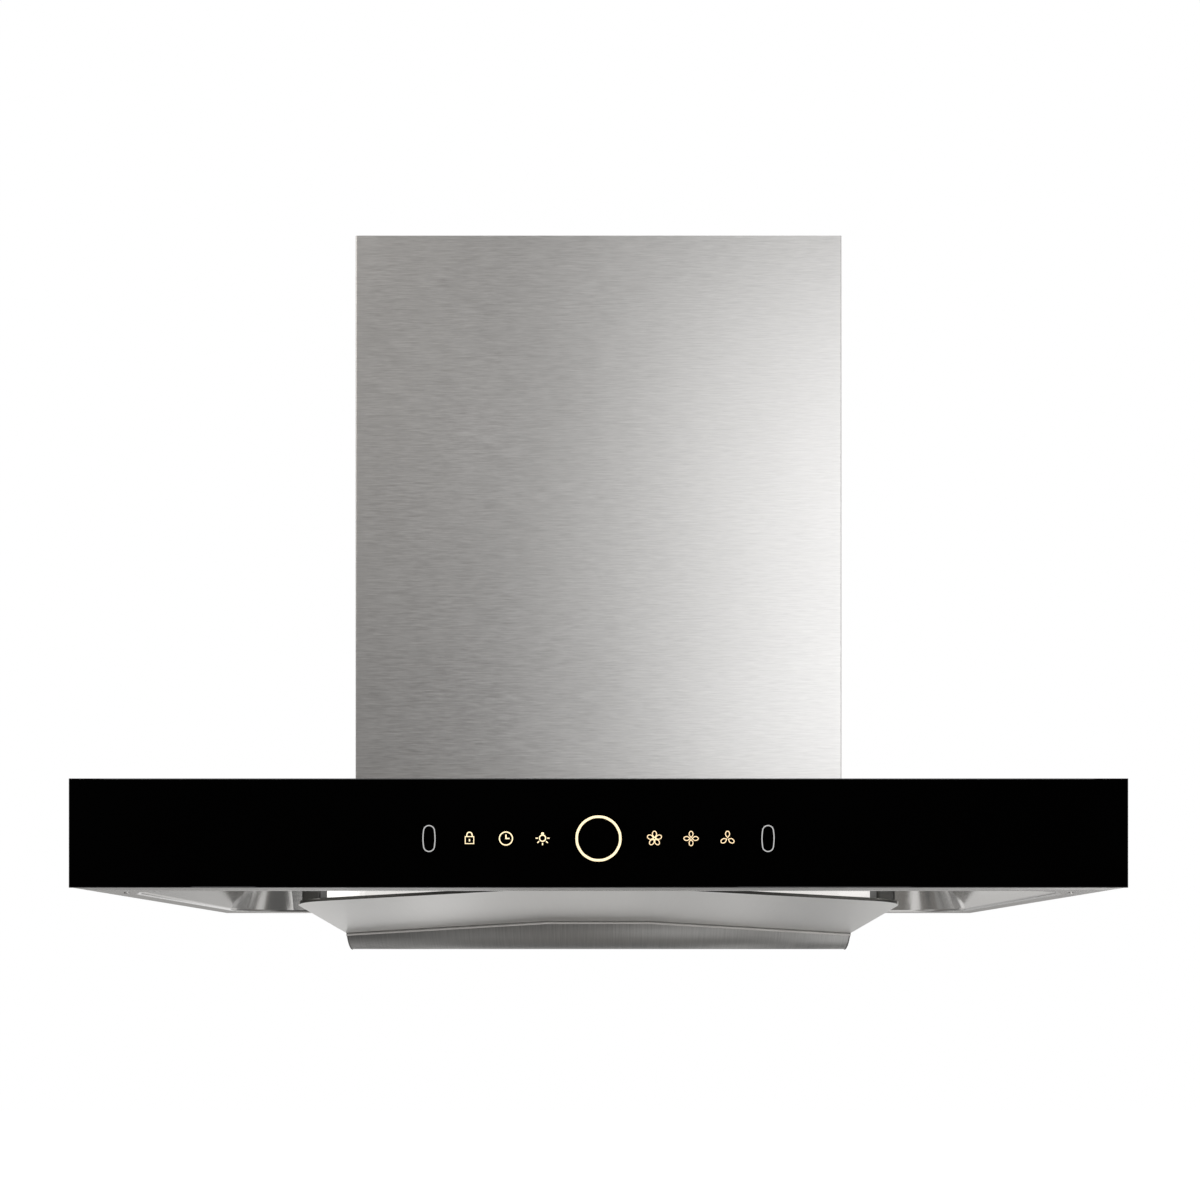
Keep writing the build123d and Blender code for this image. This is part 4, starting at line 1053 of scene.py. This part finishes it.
@dataclass
class CaptureShield(SubAssembly):
    """Capture plate with its arms, and the oil tray with its lip and seams; the plate's hem band is a painted
    dark reflection, the lip a painted highlight and the bead above the lip a painted shadow.
    """

    tray_round_mm: float = 49.0
    tray_back_mm: float = 8.0
    tolerance_mm: float = 0.1
    column_digits: int = 4
    lip_bead_mm: float = 1.0
    lip_shadow_mm: float = 0.45
    end_seam_mm: float = 0.75
    end_steps: int = 8
    band_mm: float = 0.25
    band_reach_mm: float = 12.0
    band_front: float = 0.35
    band_level: float = 0.4
    weld_mm: float = 0.005

    finishes: ClassVar[FinishTable] = {
        Finishes.PLATE_STEEL: ("capture_plate",),
        Finishes.ARM_PAINT: ("lift_arm_left", "lift_arm_right"),
        Finishes.ZINC: ("tray_hangers",),
        Finishes.MAGNET: ("tray_magnets",),
        Finishes.TRAY_STEEL: ("oil_tray",),
    }

    def round_axis(self) -> Vector:
        """Gives the axis of the tray's rounded front, at the middle of the hood."""
        low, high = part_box("oil_tray")
        return Vector((0.0, high.y - self.tray_back_mm * MM, low.z + self.tray_round_mm * MM))

    def lip_points(self) -> list[Vector]:
        """Finds the upper edge of the tray's rounded front, from left to right.

        Returns:
            Points on the outside of the sheet.
        """
        axis, radius = self.round_axis(), self.tray_round_mm * MM
        highest: dict[float, Vector] = {}
        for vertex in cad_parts["oil_tray"].data.vertices:
            spot = vertex.co
            reach = math.hypot(spot.y - axis.y, spot.z - axis.z)
            if abs(reach - radius) > self.tolerance_mm * MM or spot.y > axis.y - radius / 2:
                continue
            key = round(spot.x, self.column_digits)
            if key not in highest or spot.z > highest[key].z:
                highest[key] = spot.copy()
        return [highest[key] for key in sorted(highest)]

    def end_points(self, x: float, lip: Vector) -> list[Vector]:
        """Follows the tray's rounded front down one end.

        Args:
            x: Place of the end.
            lip: Upper end of the rounding there.

        Returns:
            Points from the lip to the bottom.
        """
        axis, radius = self.round_axis(), self.tray_round_mm * MM
        start = math.atan2(lip.z - axis.z, lip.y - axis.y) % (2 * math.pi)
        stop = 1.5 * math.pi
        turns = [start + (stop - start) * step / self.end_steps for step in range(self.end_steps + 1)]
        return [axis + Vector((x, radius * math.cos(turn), radius * math.sin(turn))) for turn in turns]

    def bead(self, name: str, lines: Sequence[Sequence[Vector]], radius_mm: float) -> bpy.types.Mesh:
        """Makes round beads along lines.

        Args:
            name: Name of the mesh.
            lines: Points of each bead's middle.
            radius_mm: Radius of the beads.

        Returns:
            The mesh.
        """
        curve = self.bead_curve(name, radius_mm * MM)
        for line in lines:
            spline = curve.splines.new("POLY")
            spline.points.add(len(line) - 1)
            for knot, spot in zip(spline.points, line):
                knot.co = (*spot, 1.0)
        return self.curve_mesh(curve)

    def edge_band(self) -> bpy.types.Mesh:
        """Lays a thin band over the plate's front hem and a part of its round corners, to carry a painted
        dark reflection.

        Returns:
            The mesh of the band.
        """
        band = bmesh.new()
        band.from_mesh(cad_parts["capture_plate"].data)
        bmesh.ops.remove_doubles(band, verts=band.verts, dist=self.weld_mm * MM)
        band.normal_update()
        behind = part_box("capture_plate")[0].y + self.band_reach_mm * MM
        rest = [face for face in band.faces
                if face.normal.y > -self.band_front or abs(face.normal.z) > self.band_level
                or face.calc_center_median().y > behind]
        bmesh.ops.delete(band, geom=rest, context="FACES")
        band.normal_update()
        for vert in band.verts:
            vert.co += vert.normal * self.band_mm * MM
        bmesh.ops.solidify(band, geom=band.faces[:], thickness=self.band_mm * MM / 2)
        return to_mesh(band, "plate_edge")

    def build(self) -> Iterable[bpy.types.Object]:
        """Builds the plate's hem band, painted near black as a painted dark reflection, the tray's rolled
        lip, painted near white as a painted highlight, the grey bead above the lip as a painted shadow line,
        and the seams at the tray's ends.

        Yields:
            The pieces.
        """
        # The band over the hem is painted near black, a painted dark reflection.
        yield self.finish_piece("plate_edge", self.edge_band(), Finishes.PLATE_EDGE_DARK_REFLECTION, Slot.DARK, Body.SHIELD)
        edge = self.lip_points()
        # The bead above the lip is painted grey, a painted shadow in the gap under the plate.
        above = Vector((0.0, 0.0, -self.lip_shadow_mm * MM))
        shadow_bead = self.bead("lip_painted_shadow", [[spot + above for spot in edge]], self.lip_shadow_mm)
        yield self.finish_piece("lip_painted_shadow", shadow_bead, Finishes.LIP_SHADOW_LINE, Slot.TRAY, Body.TRAY)
        # The lip bead is painted near white, a painted highlight along the tray's edge.
        sunk = 2 * above - Vector((0.0, 0.0, self.lip_bead_mm * MM))
        rolled = self.bead("tray_lip", [[spot + sunk for spot in edge]], self.lip_bead_mm)
        yield self.finish_piece("tray_lip", rolled, Finishes.TRAY_LIP_HIGHLIGHT, Slot.TRAY, Body.TRAY)
        inset = self.end_seam_mm * MM
        ends = [self.end_points(edge[0].x + inset, edge[0]), self.end_points(edge[-1].x - inset, edge[-1])]
        seams = self.bead("tray_end_seams", ends, self.end_seam_mm)
        yield self.finish_piece("tray_end_seams", seams, Finishes.END_SEAM, Slot.TRAY, Body.TRAY)


@dataclass
class BlowerBox(SubAssembly):
    """Box cover, back and top panels and the wall hanging, with the cover's screws."""

    screw_levels: tuple[float, ...] = (0.06, 0.5, 0.94)
    screw_setback_mm: float = 8.0

    finishes: ClassVar[FinishTable] = {
        Finishes.BOX_STEEL: ("box_cover",),
        Finishes.ZINC: ("back_panel", "top_panel", "wall_bracket", "hanger_hook"),
    }

    def build(self) -> Iterable[bpy.types.Object]:
        """Builds the screws that hold the cover to the flanges of the back panel.

        Yields:
            The screws as one piece.
        """
        low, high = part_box("box_cover")
        y = high.y - self.screw_setback_mm * MM
        levels = [low.z + level * (high.z - low.z) for level in self.screw_levels]
        seats = [(Vector((x, y, z)), Vector((outward, 0.0, 0.0)))
                 for x, outward in ((low.x, -1.0), (high.x, 1.0)) for z in levels]
        yield self.finish_piece("cover_screws", ScrewHeads().mesh(seats), Finishes.BRIGHT_STEEL, Slot.SCREW)


@dataclass
class Blower(SubAssembly):
    """Scroll, impeller and motor."""

    finishes: ClassVar[FinishTable] = {
        Finishes.ZINC: ("scroll_band", "scroll_front_plate", "scroll_back_plate", "inlet_ring",
                        "motor_bracket", "outlet_transition", "impeller"),
        Finishes.BRIGHT_STEEL: ("motor_shaft", "impeller_nut"),
        Finishes.MOTOR_PAINT: ("motor_body",),
        Finishes.RUBBER: ("motor_grommets",),
    }


@dataclass
class DuctOutlet(SubAssembly):
    """Collar on the top panel with its two damper flaps."""

    finishes: ClassVar[FinishTable] = {
        Finishes.BLACK_PLASTIC: ("outlet_collar", "damper_flap_front", "damper_flap_rear"),
        Finishes.BRIGHT_STEEL: ("damper_pin", "collar_screws"),
    }


@dataclass
class Electrics(SubAssembly):
    """Control box, capacitor and cord gland."""

    finishes: ClassVar[FinishTable] = {
        Finishes.BLACK_PLASTIC: ("control_box", "cord_gland"),
        Finishes.GREY_PLASTIC: ("control_box_lid", "capacitor"),
        Finishes.ZINC: ("capacitor_strap",),
    }


def hang_light(name: str, size: Point, power: float, place: Vector, aim: Vector) -> bpy.types.Object:
    """Hangs a rectangular light that the camera doesn't see.

    Args:
        name: Name of the light.
        size: Its sides.
        power: Its power in watts.
        place: Its middle.
        aim: Direction that it looks in.

    Returns:
        The object of the light.
    """
    lamp = bpy.data.lights.new(name, "AREA")
    lamp.shape = "RECTANGLE"
    lamp.size, lamp.size_y = size
    lamp.energy = power
    holder = bpy.data.objects.new(name, lamp)
    holder.location = place
    holder.rotation_euler = aim.to_track_quat("-Z", "Y").to_euler()
    holder.visible_camera = False
    bpy.context.scene.collection.objects.link(holder)
    return holder


@dataclass
class Softbox:
    """A soft studio light, placed round the hood and turned to it."""

    name: str
    azimuth: float
    elevation: float
    distance: float
    size: Point
    power: float
    spared: tuple[str, ...] = ()
    colour: Colour = WHITE

    def build(self, target: Vector) -> None:
        """Makes the light.

        Args:
            target: Point that it looks at.
        """
        turn, rise = math.radians(self.azimuth), math.radians(self.elevation)
        away = Vector((math.sin(turn) * math.cos(rise), -math.cos(turn) * math.cos(rise), math.sin(rise)))
        holder = hang_light(self.name, self.size, self.power, target + away * self.distance, -away)
        holder.data.color = self.colour
        if self.spared:
            self.spare(holder)

    def spare(self, holder: bpy.types.Object) -> None:
        """Keeps the light off the nodes that it spares.

        Args:
            holder: Object of the light.
        """
        unlit = bpy.data.collections.new(f"{self.name}_spared")
        for name in self.spared:
            unlit.objects.link(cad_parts[name])
        for entry in unlit.collection_objects:
            entry.light_linking.link_state = "EXCLUDE"
        holder.light_linking.receiver_collection = unlit


@dataclass
class LowCard:
    """A level card under the hood, with its reach to the sides and from front to back."""

    name: str
    across: Point
    along: Point
    glow: float


@dataclass
class WallLight:
    """A thin strip light above the oil tray that lights the rear wall of the pan."""

    setback_mm: float = 20.0
    drop_mm: float = 0.6
    size: Point = (0.66, 0.014)
    power: float = 0.036
    aim: tuple[float, float, float] = (0.0, 0.703, 0.696)

    def build(self) -> None:
        """Makes the light over the trough, turned to the leaning wall."""
        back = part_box("oil_tray")[1].y
        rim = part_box("inner_pan")[0].z
        place = Vector((0.0, back - self.setback_mm * MM, rim - self.drop_mm * MM))
        hang_light("wall_light", self.size, self.power, place, Vector(self.aim))


@dataclass
class Studio:
    """Floor, surroundings, lights and camera."""

    sheet_roughness: float = 0.9
    floor_drop: float = 1.6
    floor_reach: float = 30.0
    floor_colour: Colour = (0.96, 0.96, 0.955)
    floor_glow: float = 0.862
    bounce_colour: Colour = (0.5, 0.5, 0.5)
    bounce_drop: float = 0.44
    bounce_front: float = 0.25
    bounce_reach: float = 5.0
    bounce_glow: float = 0.28
    low_card_drop: float = 0.40
    low_cards: tuple[LowCard, ...] = (
        LowCard("left_stripe", (0.047, 0.196), (-0.28, -0.07), 0.85),
        LowCard("left_thin_stripe", (-0.468, -0.395), (-0.56, -0.38), 1.3),
        LowCard("left_shade", (-0.395, 0.03), (-0.6, -0.29), 0.14),
        LowCard("left_wall_shade", (-0.9, -0.468), (-0.7, -0.3), 0.14),
        LowCard("left_band_near", (0.2, 0.29), (-0.06, 0.16), 0.18),
        LowCard("left_band_far", (0.27, 0.43), (0.16, 1.1), 0.18),
        LowCard("right_stripe", (0.16, 0.36), (-0.56, -0.36), 1.0),
        LowCard("right_band_near", (-0.24, -0.12), (-0.19, 0.0), 0.4),
        LowCard("right_band_far", (-0.36, -0.23), (0.0, 0.40), 0.4),
        LowCard("right_sliver", (-0.46, -0.33), (0.42, 1.2), 0.16),
        LowCard("far_grey", (0.1, 1.3), (1.1, 2.4), 0.5),
        LowCard("far_light", (-0.85, -0.25), (1.3, 3.2), 1.05),
        LowCard("tray_light", (0.3, 1.3), (-0.34, 0.14), 0.95),
        LowCard("tray_shade", (-1.1, -0.25), (-0.3, 0.0), 0.1),
        LowCard("tray_low_shade", (-0.22, 0.18), (0.17, 0.7), 0.22),
        LowCard("tray_side_light", (0.62, 1.5), (0.16, 0.46), 4.4),
    )
    wall_light: WallLight = field(default_factory=WallLight)
    surround: float = 0.245
    surround_tint: Colour = (1.0, 0.965, 0.925)
    flag_distance: float = 4.0
    flag_size: Point = (5.2, 0.9)
    camera_place: tuple[float, float, float] = (0.0, -1.761, -0.6333)
    lens: float = 43.95
    sensor: float = 36.0
    shift: Point = (0.00125, 0.3117)
    softboxes: tuple[Softbox, ...] = (
        Softbox("key_right", 29.0, 4.6, 2.4, (2.1, 2.3), 24.6, ("glass_panel",)),
        Softbox("fill_left", -56.0, 40.0, 3.0, (2.9, 2.6), 32.0, colour=(1.0, 0.955, 0.9)),
        Softbox("top", 0.0, 84.0, 2.6, (2.8, 2.4), 26.0),
        Softbox("rear_right", 145.0, 22.0, 3.2, (3.2, 2.8), 31.0),
        Softbox("rear_left", -145.0, 22.0, 3.2, (3.2, 2.8), 31.0),
    )

    def plain(self, name: str, colour: Colour, glow: float) -> bpy.types.Material:
        """Makes a plain studio material.

        Args:
            name: Name of the material.
            colour: Its colour.
            glow: Light that it gives by itself.

        Returns:
            The material.
        """
        made = bpy.data.materials.new(name)
        made.use_nodes = True
        shader = made.node_tree.nodes["Principled BSDF"]
        shader.inputs["Base Color"].default_value = (*colour, 1.0)
        shader.inputs["Roughness"].default_value = self.sheet_roughness
        shader.inputs["Specular IOR Level"].default_value = 0.0
        shader.inputs["Emission Color"].default_value = (*WHITE, 1.0)
        shader.inputs["Emission Strength"].default_value = glow
        return made

    def sheet(self, name: str, place: Matrix, size: Point, material: bpy.types.Material) -> bpy.types.Object:
        """Makes a flat sheet of the studio.

        Args:
            name: Name of the sheet.
            place: Its middle and direction.
            size: Its sides.
            material: Its material.

        Returns:
            The sheet, marked as stage.
        """
        flat = bmesh.new()
        bmesh.ops.create_grid(flat, x_segments=1, y_segments=1, size=0.5)
        bmesh.ops.scale(flat, verts=flat.verts, vec=(size[0], size[1], 1.0))
        bmesh.ops.transform(flat, matrix=place, verts=flat.verts)
        mesh = to_mesh(flat, name)
        mesh.materials.append(material)
        made = bpy.data.objects.new(name, mesh)
        bpy.context.scene.collection.objects.link(made)
        return made

    def floor(self) -> None:
        """Lays the pale floor, and a glowing sheet low behind the hood that lights its underside."""
        pale = self.plain("pale_floor", self.floor_colour, self.floor_glow)
        level = Matrix.Translation((0.0, 0.0, cad_low.z - self.floor_drop))
        ground = self.sheet("floor", level, (self.floor_reach, self.floor_reach), pale)
        ground.visible_diffuse = False
        ground.visible_glossy = False
        glowing = self.plain("bounce_sheet", self.bounce_colour, self.bounce_glow)
        middle = (0.0, self.bounce_front + self.bounce_reach / 2, cad_low.z - self.bounce_drop)
        size = (self.bounce_reach, self.bounce_reach)
        bounce = self.sheet("bounce_sheet", Matrix.Translation(middle), size, glowing)
        bounce.visible_camera = False

    def cards(self) -> None:
        """Lays light and dark cards under the hood that only gloss can see."""
        for card in self.low_cards:
            (left, right), (front, back) = card.across, card.along
            middle = ((left + right) / 2, (front + back) / 2, cad_low.z - self.low_card_drop)
            finish = self.plain(card.name, BLACK, card.glow)
            sheet = self.sheet(card.name, Matrix.Translation(middle), (right - left, back - front), finish)
            sheet.visible_camera = False
            sheet.visible_diffuse = False
            sheet.visible_shadow = False

    def flag(self) -> None:
        """Hangs a dark card behind the camera that only gloss can see, to keep the glass black."""
        place = Matrix.Translation((0.0, self.camera_place[1] - self.flag_distance, 0.0))
        turn = Matrix.Rotation(math.pi / 2, 4, "X")
        card = self.sheet("dark_card", place @ turn, self.flag_size, self.plain("dark_card", BLACK, 0.0))
        card.visible_camera = False
        card.visible_diffuse = False

    def surroundings(self) -> None:
        """Gives an even, slightly warm light from all round, and a backdrop that the camera sees as white."""
        world = bpy.data.worlds.new("studio")
        bpy.context.scene.world = world
        world.use_nodes = True
        world.node_tree.nodes.clear()
        graph = NodeGraph(world.node_tree)
        white = graph.add("ShaderNodeBackground", {"Color": (*WHITE, 1.0), "Strength": 1.0})
        warm = {"Color": (*self.surround_tint, 1.0), "Strength": self.surround}
        grey = graph.add("ShaderNodeBackground", warm)
        seen = graph.add("ShaderNodeLightPath").outputs["Is Camera Ray"]
        mixed = graph.add("ShaderNodeMixShader", {0: seen, 1: grey.outputs[0], 2: white.outputs[0]})
        graph.add("ShaderNodeOutputWorld", {"Surface": mixed.outputs[0]})

    def camera(self) -> None:
        """Sets the camera in front of the hood, a little below its rim."""
        data = bpy.data.cameras.new("camera")
        data.lens = self.lens
        data.sensor_width = self.sensor
        data.shift_x, data.shift_y = self.shift
        holder = bpy.data.objects.new("camera", data)
        holder.location = self.camera_place
        holder.rotation_euler = (math.pi / 2, 0.0, 0.0)
        bpy.context.scene.collection.objects.link(holder)
        bpy.context.scene.camera = holder

    def build(self) -> None:
        """Builds the studio."""
        self.floor()
        self.cards()
        self.flag()
        self.surroundings()
        self.camera()
        low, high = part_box("box_cover")
        for softbox in self.softboxes:
            softbox.build((low + high) / 2)
        self.wall_light.build()
        bpy.context.scene.view_settings.view_transform = "Standard"


def main() -> None:
    """Dresses the hood, builds its small pieces and sets the studio."""
    logging.basicConfig(level=logging.INFO, format="%(message)s")
    for group in (GlassFront(), Canopy(), CaptureShield(), BlowerBox(), Blower(), DuctOutlet(), Electrics()):
        group.dress()
        for piece in group.build():
            log.info("%s: %s", type(group).__name__, piece.name)
    Studio().build()


if __name__ == "__main__":
    main()
